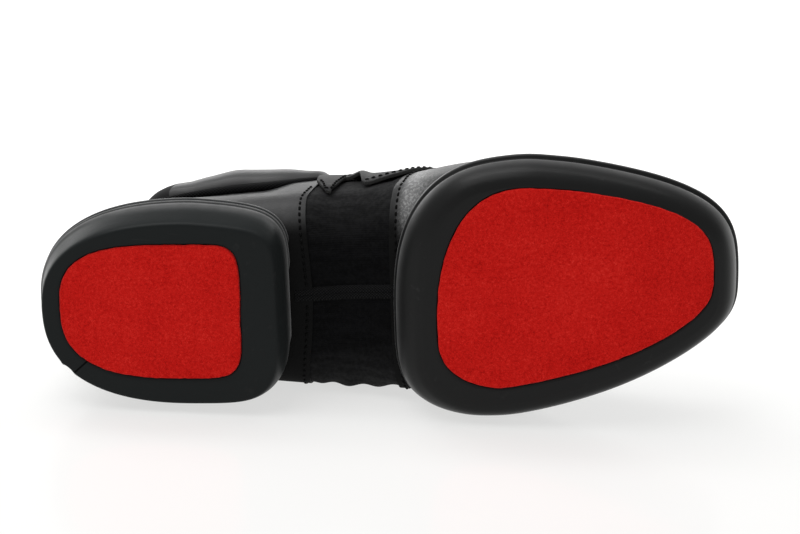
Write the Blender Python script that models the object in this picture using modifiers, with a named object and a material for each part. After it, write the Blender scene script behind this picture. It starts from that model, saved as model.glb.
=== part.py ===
"""Split-sole dance sneaker, left foot, lying on its outer side.

The shoe is modelled standing, in millimetres: x runs from heel to toe, y to the
outer (lateral) side and z up from the tread.  One empty then lays it on its side.
"""

import math

import bmesh
import bpy
import numpy as np
from mathutils import Matrix, Vector

MM = 0.001
# Clearance between pieces; where facets differ more is left, so that about the same stays
GAP = 0.3
SEAT_GAP = 0.45
EYESTAY_GAP = 0.6
COLLAR_GAP = 0.5
LACE_GAP = 0.7
TONGUE_GAP = 0.9
INSOLE_GAP = 0.9

# Wall thicknesses
LEATHER = 2.0
STRETCH_CLOTH = 1.3
EYESTAY_LEATHER = 1.4
INSOLE_FOAM = 3.0
TONGUE_PAD = 3.5
SUEDE = 1.4

# Length of the last and the places along it where its form changes
HEEL_X = 2.5
HEEL_WIDEST_X = 60.0
TOE_MEDIAL_X = 188.0
TOE_LATERAL_X = 180.0
TOE_X = 264.0
TOE_BOX_X = 214.0
HEEL_ROUNDNESS = 2.6
TOE_MEDIAL_ROUNDNESS = 3.3
TOE_MEDIAL_TAPER = 0.31
TOE_LATERAL_ROUNDNESS = 3.9
TOE_LATERAL_TAPER = 0.46
TAPER_POWER = 1.3
TOE_BOX_ROUNDNESS = 2.5
UPPER_ROUNDNESS = 2.2

# The last, a row for each section: half widths to each side of the centre line,
# heights of the floor, the widest line (and how much higher it is on the medial side)
# and the ridge, and squareness of the floor
LAST_COLUMNS = (
    "x", "centre", "medial", "lateral", "floor", "widest", "medial_rise", "ridge", "square",
)
LAST = (
    (2.5, 0.0, 34.0, 33.5, 17.0, 31.0, 0.0, 93.0, 3.2),
    (60.0, 0.0, 34.0, 33.5, 17.0, 31.0, 2.0, 95.0, 3.2),
    (95.0, -1.0, 34.0, 38.0, 19.0, 31.0, 10.0, 101.0, 2.9),
    (118.0, -1.5, 33.2, 41.0, 22.0, 30.0, 18.0, 96.0, 2.5),
    (140.0, -3.0, 37.0, 42.0, 17.5, 28.0, 10.0, 81.5, 2.7),
    (165.0, -4.5, 43.5, 44.5, 12.5, 25.0, 2.0, 67.0, 3.2),
    (188.0, -6.0, 45.5, 47.5, 10.0, 22.0, 0.0, 57.0, 3.4),
    (214.0, -7.0, 46.0, 48.0, 10.0, 21.0, 0.0, 50.0, 3.4),
    (264.0, -9.5, 46.0, 48.0, 10.0, 20.0, 0.0, 44.0, 3.2),
)
ARCH_LIFT = 6.0
ARCH_X = 120.0
ARCH_SPREAD = 26.0
TOE_SPRING = 9.0
TOE_SPRING_X = 216.0
SOLE_TOE_X = 267.0
COUNTER_Z = 38.0
COUNTER_LEAN = 0.0035
HEEL_PINCH = 0.34
HEEL_PINCH_X = 70.0

# Openings of the upper
COLLAR_FRONT_X = 109.0
CORNER_X = 110.6
COLLAR_END_X = 112.0
THROAT_END_X = 172.0
THROAT_TOP_HALF = 17.0
THROAT_LOW_HALF = 9.0
THROAT_ROUND = 10.0
MARGIN_ANGLE = -54.0
MARGIN_HEEL_X = 13.0
MARGIN_TOE_X = 250.0
MARGIN_RUN = 14.0
ARCH_REAR_X = 93.0
ARCH_FRONT_X = 147.0
STRETCH_REAR_X = 105.0
STRETCH_FRONT_X = 140.0
STEP_RUN = 0.9

# Height of the seam between quarter and collar, and size of the padded roll there
SEAM_COLUMNS = ("x", "height", "half_height", "half_thick", "stand_off")
SEAM = (
    (2.5, 60.0, 10.5, 4.4, 0.8),
    (25.0, 57.0, 11.0, 4.8, 0.9),
    (50.0, 53.5, 11.3, 6.4, 2.0),
    (75.0, 53.0, 11.5, 8.0, 3.8),
    (95.0, 59.5, 10.0, 7.4, 3.4),
    (106.0, 72.5, 6.5, 4.4, 1.6),
    (112.0, 92.5, 3.0, 2.4, 0.8),
)

# Outlines of the sole units and their suede patches: four quarter curves round an
# axis, each with its pivot x, its reach along the shoe, its half width, its roundness
# and the share of its width that it loses evenly on the way
HEEL_AXIS = ((0.0, 0.0), (94.0, 0.0))
HEEL_OUTLINE = {
    "lateral_rear": (60.0, 60.0, 38.8, 2.4, 0.0),
    "lateral_front": (60.0, 34.0, 38.8, 4.0, 0.0),
    "medial_front": (60.0, 34.0, 37.4, 4.0, 0.0),
    "medial_rear": (60.0, 60.0, 37.4, 2.45, 0.0),
}
FORE_AXIS = ((138.0, 9.3), (268.0, 0.35))
FORE_OUTLINE = {
    "lateral_rear": (180.0, 42.0, 38.4, 3.5, 0.09),
    "lateral_front": (180.0, 88.0, 38.4, 2.3, 0.38),
    "medial_front": (190.0, 78.0, 62.3, 4.5, 0.35),
    "medial_rear": (190.0, 52.0, 62.3, 2.65, 0.0),
}
HEEL_SUEDE_AXIS = ((8.6, 0.0), (79.0, 0.0))
HEEL_SUEDE_OUTLINE = {
    "lateral_rear": (55.0, 46.4, 26.7, 2.6, 0.0),
    "lateral_front": (55.0, 23.6, 26.7, 5.5, 0.0),
    "medial_front": (55.0, 24.2, 27.6, 6.5, 0.0),
    "medial_rear": (55.0, 46.4, 27.6, 3.2, 0.0),
}
FORE_SUEDE_AXIS = ((154.5, 6.3), (259.5, -6.6))
FORE_SUEDE_OUTLINE = {
    "lateral_rear": (178.0, 23.5, 27.9, 3.8, 0.32),
    "lateral_front": (178.0, 81.5, 27.9, 2.0, 0.13),
    "medial_front": (188.0, 71.5, 50.9, 4.6, 0.4),
    "medial_rear": (188.0, 33.5, 50.9, 2.2, -0.1),
}

# Side walls of the sole units, from the tread up: height above the tread, distance
# out from the outline at the sides, and the same at the end that faces the arch
HEEL_WALL = (
    (0.5, -3.2, -3.6),
    (1.1, -1.4, -1.6),
    (2.6, -0.3, -0.3),
    (5.0, 0.2, 0.5),
    (13.2, 1.3, 2.2),
    (14.4, 1.1, 2.2),
    (15.0, 0.5, 1.7),
    (15.9, 0.6, 1.8),
    (16.6, 1.8, 3.0),
    (17.8, 1.9, 3.1),
    (18.4, 1.1, 2.4),
    (19.2, 1.2, 2.5),
    (19.8, 2.1, 3.4),
    (21.4, 2.0, 3.4),
    (22.2, 1.2, 2.8),
)
FORE_WALL = (
    (0.5, -6.5, -11.0),
    (1.2, -3.8, -8.0),
    (2.8, -1.8, -5.8),
    (5.2, -0.4, -3.0),
    (8.0, 0.6, -1.2),
    (11.0, 1.4, 0.0),
    (11.8, 0.8, 0.0),
    (12.6, 0.9, 0.3),
    (13.2, 2.0, 0.8),
    (14.8, 2.1, 1.2),
    (15.6, 1.4, 1.0),
)
RIM_DEPTH = 9.0
QUARTER_STEPS = 9
WALL_ROWS = 10
EYESTAY_ROWS = 6
INSOLE_ROWS = 3
TONGUE_ROWS = 5
COLLAR_FACETS = 12
RING_SCALES = (0.05, 0.35, 0.7)
RECESS_REACH = 2.0
LACE_POINTS = 11
PROBE = 0.5
RIDGE_ANGLE = 89.9
INSOLE_EDGE_ANGLE = -48.0

# Lacing
EYELET_ROWS = 4
FIRST_EYELET_X = 164.0
LAST_EYELET_X = 116.0
EYELET_SPREAD = 2.7
EYELET_INSET = 7.0
EYESTAY_END_X = 182.0
COLLAR_CLEAR_ANGLE = 2.5

# Lower edge of the eyestay, with the tips of its two tabs
EYESTAY_EDGE_COLUMNS = ("x", "height")
EYESTAY_EDGE = (
    (104.0, 52.0),
    (110.0, 38.5),
    (116.0, 61.0),
    (121.5, 60.0),
    (125.5, 44.0),
    (132.0, 45.0),
    (140.0, 47.0),
    (147.0, 52.0),
    (154.0, 57.0),
    (159.0, 55.0),
)
LACE_WIDTH = 4.6
LACE_THICK = 1.3
LACE_SAG = 1.2
LACE_UNDER_SAG = 2.0
LACE_CLEAR = 2.0

TONGUE_TOP_X = 95.0
TONGUE_LOW_X = 180.0
TONGUE_HALF = 24.0
TONGUE_NECK_HALF = 15.5
TONGUE_TOP_HALF = 22.0
TONGUE_SHOULDER = 6.0
TONGUE_UNDERLAP = 8.0
TONGUE_CORNER = 7.0
TONGUE_SLOPE = 50.0

MATERIALS = {
    "leather": ((0.020, 0.020, 0.022), 0.42),
    "rubber": ((0.016, 0.018, 0.019), 0.55),
    "red_suede": ((0.46, 0.008, 0.010), 0.95),
    "lining": ((0.012, 0.012, 0.013), 0.90),
    "lace": ((0.012, 0.012, 0.013), 0.85),
}
DENSITY = {"leather": 0.9, "rubber": 1.0, "red_suede": 0.7, "lining": 0.3, "lace": 0.6}


def smooth(x, xs, ys):
    """Cubic curve through the points of a table, with slopes from their neighbours."""
    xs, ys = np.asarray(xs, float), np.asarray(ys, float)
    slopes = np.gradient(ys, xs)
    x = np.clip(x, xs[0], xs[-1])
    k = np.clip(np.searchsorted(xs, x, side="right") - 1, 0, len(xs) - 2)
    run = xs[k + 1] - xs[k]
    t = (x - xs[k]) / run
    rise = ys[k] * (1 + 2 * t) * (1 - t) ** 2 + ys[k + 1] * t * t * (3 - 2 * t)
    return rise + run * (slopes[k] * t * (1 - t) ** 2 - slopes[k + 1] * t * t * (1 - t))


def column(table, names, name, x):
    """One named column of a table, read at x."""
    rows = np.array(table)
    return smooth(x, rows[:, 0], rows[:, names.index(name)])


def round_end(share, roundness):
    """Height of a quarter superellipse: 1 at share 0 or less, 0 at share 1."""
    share = np.clip(share, 0.0, 1.0)
    return (1.0 - share**roundness) ** (1.0 / roundness)


def tapered_end(share, roundness, taper):
    """A rounded end that also narrows evenly on its way there."""
    return round_end(share, roundness) * (1.0 - taper * np.clip(share, 0.0, 1.0) ** TAPER_POWER)


def tread_rise(x):
    """Toe spring of the tread at x."""
    share = np.clip((x - TOE_SPRING_X) / (SOLE_TOE_X - TOE_SPRING_X), 0.0, 1.2)
    return TOE_SPRING * share**2


def section(x, side):
    """Sizes of the last's section at x: centre, half width, floor, widest, ridge, squareness."""
    centre = column(LAST, LAST_COLUMNS, "centre", x)
    medial = column(LAST, LAST_COLUMNS, "medial", x) * tapered_end(
        (x - TOE_MEDIAL_X) / (TOE_X - TOE_MEDIAL_X), TOE_MEDIAL_ROUNDNESS, TOE_MEDIAL_TAPER
    )
    lateral = column(LAST, LAST_COLUMNS, "lateral", x) * tapered_end(
        (x - TOE_LATERAL_X) / (TOE_X - TOE_LATERAL_X), TOE_LATERAL_ROUNDNESS, TOE_LATERAL_TAPER
    )
    heel = round_end((HEEL_WIDEST_X - x) / (HEEL_WIDEST_X - HEEL_X), HEEL_ROUNDNESS)
    half = np.where(side > 0, lateral, medial) * heel
    box = round_end((x - TOE_BOX_X) / (TOE_X - TOE_BOX_X), TOE_BOX_ROUNDNESS)
    floor = column(LAST, LAST_COLUMNS, "floor", x)
    rise = np.where(side < 0, column(LAST, LAST_COLUMNS, "medial_rise", x), 0.0)
    widest = floor + (column(LAST, LAST_COLUMNS, "widest", x) + rise - floor) * box
    ridge = floor + (column(LAST, LAST_COLUMNS, "ridge", x) - floor) * box
    spring = tread_rise(x)
    square = column(LAST, LAST_COLUMNS, "square", x)
    return centre, half, floor + spring, widest + spring, ridge + spring, square


def last_point(x, side, angle):
    """Point of the last at station x on one side (+1 lateral, -1 medial).

    The angle runs round the section: -90 floor centre, 0 widest line, 90 ridge.
    """
    x, side, angle = np.broadcast_arrays(
        np.asarray(x, float), np.asarray(side, float), np.asarray(angle, float)
    )
    centre, half, floor, widest, ridge, square = section(x, side)
    power = 2.0 / np.where(angle < 0, square, UPPER_ROUNDNESS)
    reach = np.abs(np.cos(np.radians(angle))) ** power
    climb = np.abs(np.sin(np.radians(angle))) ** power
    pinch = HEEL_PINCH * np.clip(1.0 - x / HEEL_PINCH_X, 0.0, 1.0)
    half = half * (1.0 - np.where(angle > 0, pinch * climb, 0.0))
    lift = ARCH_LIFT * np.exp(-(((x - ARCH_X) / ARCH_SPREAD) ** 2))
    floor = floor + np.where(side < 0, lift * reach**2, 0.0)
    z = np.where(angle < 0, widest - (widest - floor) * climb, widest + (ridge - widest) * climb)
    back = np.clip(1.0 - (x - HEEL_X) / (HEEL_WIDEST_X - HEEL_X), 0.0, 1.0) ** 2
    lean = COUNTER_LEAN * (z - COUNTER_Z) ** 2 * back
    return np.stack([x + lean, centre + side * half * reach, z], axis=-1)


def last_normal(x, side, angle):
    """Outward direction of the last at a point, from points beside it along and round."""
    x, side, angle = np.broadcast_arrays(
        np.asarray(x, float), np.asarray(side, float), np.asarray(angle, float)
    )
    along = last_point(x + PROBE, side, angle) - last_point(x - PROBE, side, angle)
    inward = last_point(x, side, angle - PROBE) - last_point(x, side, angle)
    out = np.cross(along, inward) * side[..., None]
    out[..., 1] *= angle < RIDGE_ANGLE
    return out / np.linalg.norm(out, axis=-1, keepdims=True)


def angle_at_height(x, side, z):
    """Angle round the section at which the upper half of the last reaches height z."""
    _, _, _, widest, ridge, _ = section(x, side)
    share = np.clip((z - widest) / np.maximum(ridge - widest, 1e-6), 0.0, 1.0)
    return np.degrees(np.arcsin(share ** (UPPER_ROUNDNESS / 2)))


def angle_at_side(x, side, distance):
    """Angle round the section at which it lies this far to the side of the ridge."""
    _, half, _, _, _, _ = section(x, side)
    share = np.clip(distance / np.maximum(half, 1e-6), 0.0, 1.0)
    return np.degrees(np.arccos(share ** (UPPER_ROUNDNESS / 2)))


def throat_half(x):
    """Half the width of the throat slot, rounded off at its toe end."""
    share = (x - COLLAR_END_X) / (THROAT_END_X - COLLAR_END_X)
    width = THROAT_TOP_HALF + (THROAT_LOW_HALF - THROAT_TOP_HALF) * share
    return width * round_end((x - THROAT_END_X + THROAT_ROUND) / THROAT_ROUND, 2.0)


def opening_angle(x, side):
    """Angle at which the upper ends: at the collar seam, along the throat, or at the ridge."""
    collar = angle_at_height(x, side, column(SEAM, SEAM_COLUMNS, "height", x))
    throat = angle_at_side(x, side, throat_half(x))
    return np.where(x < COLLAR_END_X, collar, np.where(x < THROAT_END_X, throat, 90.0))


def floor_angle(x):
    """Angle at which the upper starts: closed under heel tip, arch and toe, else a margin."""
    heel = np.minimum(x - MARGIN_HEEL_X, ARCH_REAR_X - x)
    fore = np.minimum(x - ARCH_FRONT_X, MARGIN_TOE_X - x)
    share = np.clip(np.maximum(heel, fore) / MARGIN_RUN, 0.0, 1.0)
    return -90.0 + (MARGIN_ANGLE + 90.0) * np.sqrt(share)


def eyestay_angles(x, side):
    """Angles across the eyestay: from its notched lower edge to the throat or the collar seam."""
    edge = dict(zip(EYESTAY_EDGE_COLUMNS, np.array(EYESTAY_EDGE).T))
    height = np.interp(x, edge["x"], edge["height"])
    _, _, floor, widest, _, square = section(x, side)
    dip = np.clip((widest - height) / (widest - floor), 0.0, 1.0)
    low = angle_at_height(x, side, height) - np.degrees(np.arcsin(dip ** (square / 2)))
    end = round_end((x - THROAT_END_X) / (EYESTAY_END_X - THROAT_END_X), 2.0)
    beside_collar = np.clip((COLLAR_END_X - x) / (COLLAR_END_X - COLLAR_FRONT_X), 0.0, 1.0)
    high = opening_angle(x, side) - COLLAR_CLEAR_ANGLE * beside_collar
    return between(90.0 - (90.0 - low) * end, high, EYESTAY_ROWS)


def eyestay_point(x, side, angle):
    """Point of the eyestay's inner face, clear of the upper's outer face."""
    return last_point(x, side, angle) + (LEATHER + EYESTAY_GAP) * last_normal(x, side, angle)


def heel_stations(count):
    turn = np.linspace(0.0, math.pi / 2, count)
    return HEEL_X + (HEEL_WIDEST_X - HEEL_X) * (1.0 - np.cos(turn))


def toe_stations(start, count):
    turn = np.linspace(0.0, math.pi / 2, count)
    return start + (TOE_X - start) * np.sin(turn)


def body_stations():
    """Stations from heel to toe, closer at the ends and at the edges of the panels."""
    middle = [68, 75, 82, 88, ARCH_REAR_X, 97, 101]
    middle += [STRETCH_REAR_X, STRETCH_REAR_X + STEP_RUN, COLLAR_FRONT_X, CORNER_X, COLLAR_END_X]
    middle += [118, 125, 132, STRETCH_FRONT_X - STEP_RUN, STRETCH_FRONT_X, 143.5]
    middle += [ARCH_FRONT_X, 149, 152, 156, 162, 167, 170, 171.5, THROAT_END_X, 180]
    return np.concatenate([heel_stations(10), middle, toe_stations(TOE_MEDIAL_X, 10)])


def collection_of(name, hidden=False):
    made = bpy.data.collections.new(name)
    bpy.context.scene.collection.children.link(made)
    made.hide_render = hidden
    return made


def material_of(name):
    made = bpy.data.materials.get(name)
    if made is None:
        made = bpy.data.materials.new(name)
        made.use_nodes = True
        colour, roughness = MATERIALS[name]
        shader = made.node_tree.nodes["Principled BSDF"]
        shader.inputs["Base Color"].default_value = (*colour, 1.0)
        shader.inputs["Roughness"].default_value = roughness
        shader.inputs["Metallic"].default_value = 0.0
    return made


def new_object(name, bm, collection, material=None):
    """A mesh object from a bmesh in millimetres."""
    bmesh.ops.scale(bm, vec=(MM, MM, MM), verts=bm.verts)
    mesh = bpy.data.meshes.new(name)
    bm.to_mesh(mesh)
    bm.free()
    mesh.shade_smooth()
    mesh.set_sharp_from_angle(angle=math.radians(40))
    obj = bpy.data.objects.new(name, mesh)
    collection.objects.link(obj)
    if material:
        mesh.materials.append(material_of(material))
    return obj


def add_grid(bm, points, flip):
    """Quads over a grid of points; flip turns the faces to the other side."""
    verts = [[bm.verts.new(p) for p in row] for row in points]
    for a, b in zip(verts, verts[1:]):
        for j in range(len(a) - 1):
            quad = (a[j], a[j + 1], b[j + 1], b[j])
            bm.faces.new(quad[::-1] if flip else quad)


def between(low, high, rows):
    """Angles in equal steps from one angle to another, a row of them for each station."""
    low, high = np.broadcast_arrays(np.asarray(low, float), np.asarray(high, float))
    return np.linspace(low, high, rows + 1, axis=1)


def upper_angles(x, side):
    """Angles of the upper's wall from its lasting margin to its opening."""
    return between(floor_angle(x), opening_angle(x, side), WALL_ROWS)


def whole_angles(x, side):
    """The upper's angles, carried on over the floor and over the opening."""
    wall = upper_angles(x, side)
    floor = between(np.full(len(x), -90.0), wall[:, 0], 3)
    top = between(wall[:, -1], np.full(len(x), 90.0), 3)
    return np.concatenate([floor[:, :-1], wall, top[:, 1:]], axis=1)


def wrap(stations, angles, surface=last_point):
    """Both sides of the last, or of a form led from it, over the given angles, facing out."""
    bm = bmesh.new()
    for side in (1.0, -1.0):
        points = surface(stations[:, None], side, angles(stations, side))
        add_grid(bm, points, flip=side < 0)
    bmesh.ops.remove_doubles(bm, verts=bm.verts, dist=1e-3)
    bmesh.ops.dissolve_degenerate(bm, edges=bm.edges, dist=1e-5)
    bmesh.ops.triangulate(bm, faces=bm.faces, quad_method="FIXED")
    return bm


def swell(bm, distance, at_corners=False):
    """Moves a surface out along its normals, further at its corners where it must clear them."""
    bm.normal_update()
    moves = [v.normal * distance * (v.calc_shell_factor() if at_corners else 1.0) for v in bm.verts]
    for v, move in zip(bm.verts, moves):
        v.co += move
    return bm


def loft(rings, cap_ends=True):
    """A skin through closed rings of equal count, with capped ends."""
    bm = bmesh.new()
    loops = [[bm.verts.new(p) for p in ring] for ring in rings]
    count = len(loops[0])
    for a, b in zip(loops, loops[1:]):
        for j in range(count):
            k = (j + 1) % count
            bm.faces.new((a[j], a[k], b[k], b[j]))
    if cap_ends:
        bm.faces.new(loops[0][::-1])
        bm.faces.new(loops[-1])
    bmesh.ops.recalc_face_normals(bm, faces=bm.faces)
    return bm


def outline(table, axis):
    """Closed outline of four quarter curves, counter-clockwise from the rear end."""
    (rear_x, rear_y), (front_x, front_y) = axis
    turn = np.linspace(0.0, math.pi / 2, QUARTER_STEPS, endpoint=False)
    order = (
        ("medial_rear", -1.0, -1.0, False),
        ("medial_front", 1.0, -1.0, True),
        ("lateral_front", 1.0, 1.0, False),
        ("lateral_rear", -1.0, 1.0, True),
    )
    points = []
    for name, ahead, side, from_pivot in order:
        pivot, reach, half, roundness, taper = table[name]
        angle = math.pi / 2 - turn if from_pivot else turn
        along = np.cos(angle) ** (2 / roundness)
        across = np.sin(angle) ** (2 / roundness) * (1.0 - taper * along**TAPER_POWER)
        x = pivot + ahead * reach * along
        y = rear_y + (front_y - rear_y) * (x - rear_x) / (front_x - rear_x) + side * half * across
        points.append(np.stack([x, y], axis=1))
    return np.concatenate(points)


def pushed_out(flat, distance):
    """A closed outline moved out along its own normals."""
    tangent = np.roll(flat, -1, axis=0) - np.roll(flat, 1, axis=0)
    normal = np.stack([tangent[:, 1], -tangent[:, 0]], axis=1)
    normal /= np.linalg.norm(normal, axis=1, keepdims=True)
    return flat + normal * np.asarray(distance).reshape(-1, 1)


def lifted(flat, height):
    """A flat outline at a height above the tread, toe spring included."""
    z = tread_rise(flat[:, 0]) + height
    return np.column_stack([flat, z])


def sole_block(table, axis, wall, arch_end):
    """Solid sole unit: tread, stepped side wall and rim."""
    flat = outline(table, axis)
    (rear_x, _), (front_x, _) = axis
    share = (flat[:, 0] - rear_x) / (front_x - rear_x)
    near_arch = np.clip((share if arch_end == "front" else 1.0 - share) * 4.0 - 3.0, 0.0, 1.0)
    near_arch = near_arch * near_arch * (3 - 2 * near_arch)
    middle = flat.mean(axis=0)
    rings = []
    _, tread_out, tread_out_arch = wall[0]
    tread = pushed_out(flat, tread_out + (tread_out_arch - tread_out) * near_arch)
    for scale in RING_SCALES:
        rings.append(lifted(middle + (tread - middle) * scale, wall[0][0]))
    for height, out, out_arch in wall:
        rings.append(lifted(pushed_out(flat, out + (out_arch - out) * near_arch), height))
    rings.append(lifted(pushed_out(flat, -RIM_DEPTH), wall[-1][0]))
    return loft(rings)


def suede_block(table, axis, low, high, grow):
    """Plate of a suede patch's outline between two heights above the tread."""
    flat = pushed_out(outline(table, axis), grow)
    middle = flat.mean(axis=0)
    scales = (*RING_SCALES, 1.0)
    lower = [lifted(middle + (flat - middle) * s, low) for s in scales]
    upper = [lifted(middle + (flat - middle) * s, high) for s in reversed(scales)]
    return loft(lower + upper)


def cut(obj, cutter):
    modifier = obj.modifiers.new("cut " + cutter.name, "BOOLEAN")
    modifier.operation = "DIFFERENCE"
    modifier.object = cutter


def thicken(obj, thickness, outward=True):
    modifier = obj.modifiers.new("wall", "SOLIDIFY")
    modifier.thickness = thickness * MM
    modifier.offset = 1.0 if outward else -1.0
    return modifier


def make_soles(parts, cutters):
    """Rubber units seated on the upper, with red suede let into their treads."""
    whole = wrap(body_stations(), whole_angles)
    seat = new_object("seat_form", swell(whole, LEATHER + SEAT_GAP, at_corners=True), cutters)
    units = (
        ("heel", HEEL_OUTLINE, HEEL_AXIS, HEEL_WALL, "front", HEEL_SUEDE_OUTLINE, HEEL_SUEDE_AXIS),
        ("forefoot", FORE_OUTLINE, FORE_AXIS, FORE_WALL, "rear", FORE_SUEDE_OUTLINE, FORE_SUEDE_AXIS),
    )
    for name, table, axis, wall, arch_end, suede_table, suede_axis in units:
        sole = new_object(name + "_sole", sole_block(table, axis, wall, arch_end), parts, "rubber")
        recess = suede_block(suede_table, suede_axis, -RECESS_REACH, SUEDE + GAP, GAP)
        cut(sole, seat)
        cut(sole, new_object(name + "_recess", recess, cutters))
        patch = suede_block(suede_table, suede_axis, 0.0, SUEDE, 0.0)
        new_object(name + "_suede", patch, parts, "red_suede")


def make_upper(parts):
    """Hollow lasted shell: leather quarter and vamp, and a thinner stretch panel at the arch."""
    upper = new_object("upper", wrap(body_stations(), upper_angles), parts, "leather")
    leather = upper.vertex_groups.new(name="leather")
    for v in upper.data.vertices:
        x = v.co.x / MM
        stretch = STRETCH_REAR_X + STEP_RUN / 2 < x < STRETCH_FRONT_X - STEP_RUN / 2
        leather.add([v.index], 0.0 if stretch else 1.0, "REPLACE")
    wall = thicken(upper, LEATHER)
    wall.vertex_group = leather.name
    wall.thickness_vertex_group = STRETCH_CLOTH / LEATHER


def make_eyestay(parts):
    """Leather facing round the throat, with pointed tabs down each side."""
    rear = [row[0] for row in EYESTAY_EDGE]
    front = [164, 168, 170, THROAT_END_X + 1.5, 176, 178, 180]
    collar_ends = [107, COLLAR_FRONT_X, CORNER_X, COLLAR_END_X]
    stations = np.unique(np.array(rear + collar_ends + front))
    eyestay = new_object("eyestay", wrap(stations, eyestay_angles, eyestay_point), parts, "leather")
    thicken(eyestay, EYESTAY_LEATHER)


def make_collar(parts):
    """Padded roll that stands on the quarter's top edge, tapered to its front ends."""
    ahead = body_stations()
    ahead = ahead[(ahead > HEEL_X) & (ahead <= COLLAR_FRONT_X)]
    x = np.concatenate([ahead[::-1], [HEEL_X], ahead])
    side = np.concatenate([-np.ones(len(ahead)), [1.0], np.ones(len(ahead))])
    half_height, half_thick, stand_off, height = (
        column(SEAM, SEAM_COLUMNS, name, x)
        for name in ("half_height", "half_thick", "stand_off", "height")
    )
    angle = angle_at_height(x, side, height)
    foot = last_point(x, side, angle)
    up = last_point(x, side, angle + 1.0) - foot
    up /= np.linalg.norm(up, axis=1, keepdims=True)
    along = np.gradient(foot, axis=0)
    out = np.cross(along, up)
    out /= np.linalg.norm(out, axis=1, keepdims=True)
    middle = foot + up * (half_height + COLLAR_GAP)[:, None] + out * stand_off[:, None]
    turn = np.linspace(0.0, 2 * math.pi, COLLAR_FACETS, endpoint=False)
    rings = (
        middle[:, None, :]
        + out[:, None, :] * (half_thick[:, None] * np.cos(turn))[:, :, None]
        + up[:, None, :] * (half_height[:, None] * np.sin(turn))[:, :, None]
    )
    new_object("collar", loft(rings), parts, "leather")


def tongue_point(x, side, angle):
    """Point of the tongue: on the last along the throat, and led up and back out of its top."""
    rise = np.maximum(COLLAR_END_X - x, 0.0)[..., None]
    slope = math.radians(TONGUE_SLOPE)
    lead = np.array([-1.0, 0.0, math.tan(slope)])
    return last_point(np.maximum(x, COLLAR_END_X), side, angle) + rise * lead


def tongue_angles(x, side):
    """Angles across the tongue: wide under the eyestay, narrow at the collar's ends, rounded on top."""
    under = np.clip((x - COLLAR_END_X) / TONGUE_SHOULDER, 0.0, 1.0)
    above = np.clip((COLLAR_FRONT_X - x) / TONGUE_SHOULDER, 0.0, 1.0)
    wide = np.minimum(throat_half(x) + TONGUE_UNDERLAP, TONGUE_HALF)
    half = TONGUE_NECK_HALF + (wide - TONGUE_NECK_HALF) * under
    half = half + (TONGUE_TOP_HALF - TONGUE_NECK_HALF) * above
    corner = round_end((TONGUE_TOP_X + TONGUE_CORNER - x) / TONGUE_CORNER, 2.0)
    half = half - TONGUE_CORNER * (1.0 - corner)
    return between(angle_at_side(np.maximum(x, COLLAR_END_X), side, half), 90.0, TONGUE_ROWS)


def make_tongue(parts):
    """Padded sheet under the eyestay that rises out of the throat."""
    top = TONGUE_TOP_X + TONGUE_CORNER * np.array([0.0, 0.08, 0.3, 0.62, 1.0])
    under = [106, COLLAR_FRONT_X, COLLAR_END_X, 115, 118, 124, 132, 141, 150, 160, 170, TONGUE_LOW_X]
    stations = np.concatenate([top, under])
    sheet = wrap(stations, tongue_angles, tongue_point)
    tongue = new_object("tongue", swell(sheet, -TONGUE_GAP), parts, "lining")
    thicken(tongue, TONGUE_PAD, outward=False)


def make_insole(parts):
    """Sock that lies on the floor of the upper from heel to toe."""
    middle = np.linspace(68, 180, 14)
    stations = np.concatenate([heel_stations(8)[2:], middle, toe_stations(TOE_MEDIAL_X, 9)[:-2]])

    def angles(x, side):
        return between(np.full(len(x), -90.0), INSOLE_EDGE_ANGLE, INSOLE_ROWS)

    sheet = wrap(stations, angles)
    insole = new_object("insole", swell(sheet, -INSOLE_GAP), parts, "lining")
    thicken(insole, INSOLE_FOAM, outward=False)


def lace_path(start_x, start_side, end_x, sag):
    """Points and normals of one run of lace between two eyelets, sagging over the throat."""
    share = np.linspace(-1.0, 1.0, LACE_POINTS)
    x = start_x + (end_x - start_x) * (share + 1.0) / 2
    reach = throat_half(x) + EYELET_INSET
    side = np.where(share * start_side < 0, 1.0, -1.0)
    angle = angle_at_side(x, side, np.abs(share) * reach)
    out = last_normal(x, side, angle)
    height = LEATHER + EYESTAY_GAP + EYESTAY_LEATHER + LACE_GAP + LACE_THICK / 2
    in_throat = np.abs(share) * reach / (throat_half(x) - LACE_CLEAR)
    sink = sag * np.clip(1.0 - in_throat**2, 0.0, 1.0)
    return last_point(x, side, angle) + out * (height - sink)[:, None], out


def lace_ribbon(path, out):
    """Flat ribbon along a path."""
    run = np.gradient(path, axis=0)
    across = np.cross(run, out)
    across /= np.linalg.norm(across, axis=1, keepdims=True)
    half, thick = across * LACE_WIDTH / 2, out * LACE_THICK / 2
    corners = (path - half - thick, path + half - thick, path + half + thick, path - half + thick)
    return loft(np.stack(corners, axis=1))


def make_laces(parts, cutters):
    """A straight bar at the lowest eyelets and a crossing above each row."""
    rows = np.linspace(FIRST_EYELET_X, LAST_EYELET_X, EYELET_ROWS)
    bar_x = rows[0] + EYELET_SPREAD
    bar = lace_ribbon(*lace_path(bar_x, 1.0, bar_x, LACE_SAG))
    new_object("lace_bar", bar, parts, "lace")
    for n, (low, high) in enumerate(zip(rows - EYELET_SPREAD, rows[1:] + EYELET_SPREAD), start=1):
        over_run = lace_ribbon(*lace_path(low, 1.0, high, LACE_SAG))
        under_run = lace_ribbon(*lace_path(low, -1.0, high, LACE_UNDER_SAG))
        over = new_object(f"lace_cross_{n}", over_run, parts, "lace")
        under = new_object(f"lace_under_{n}", under_run, cutters)
        join = over.modifiers.new("join", "BOOLEAN")
        join.operation = "UNION"
        join.object = under


def hide_helpers(collection):
    for obj in collection.objects:
        obj.hide_render = True
        obj.display_type = "WIRE"


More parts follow.
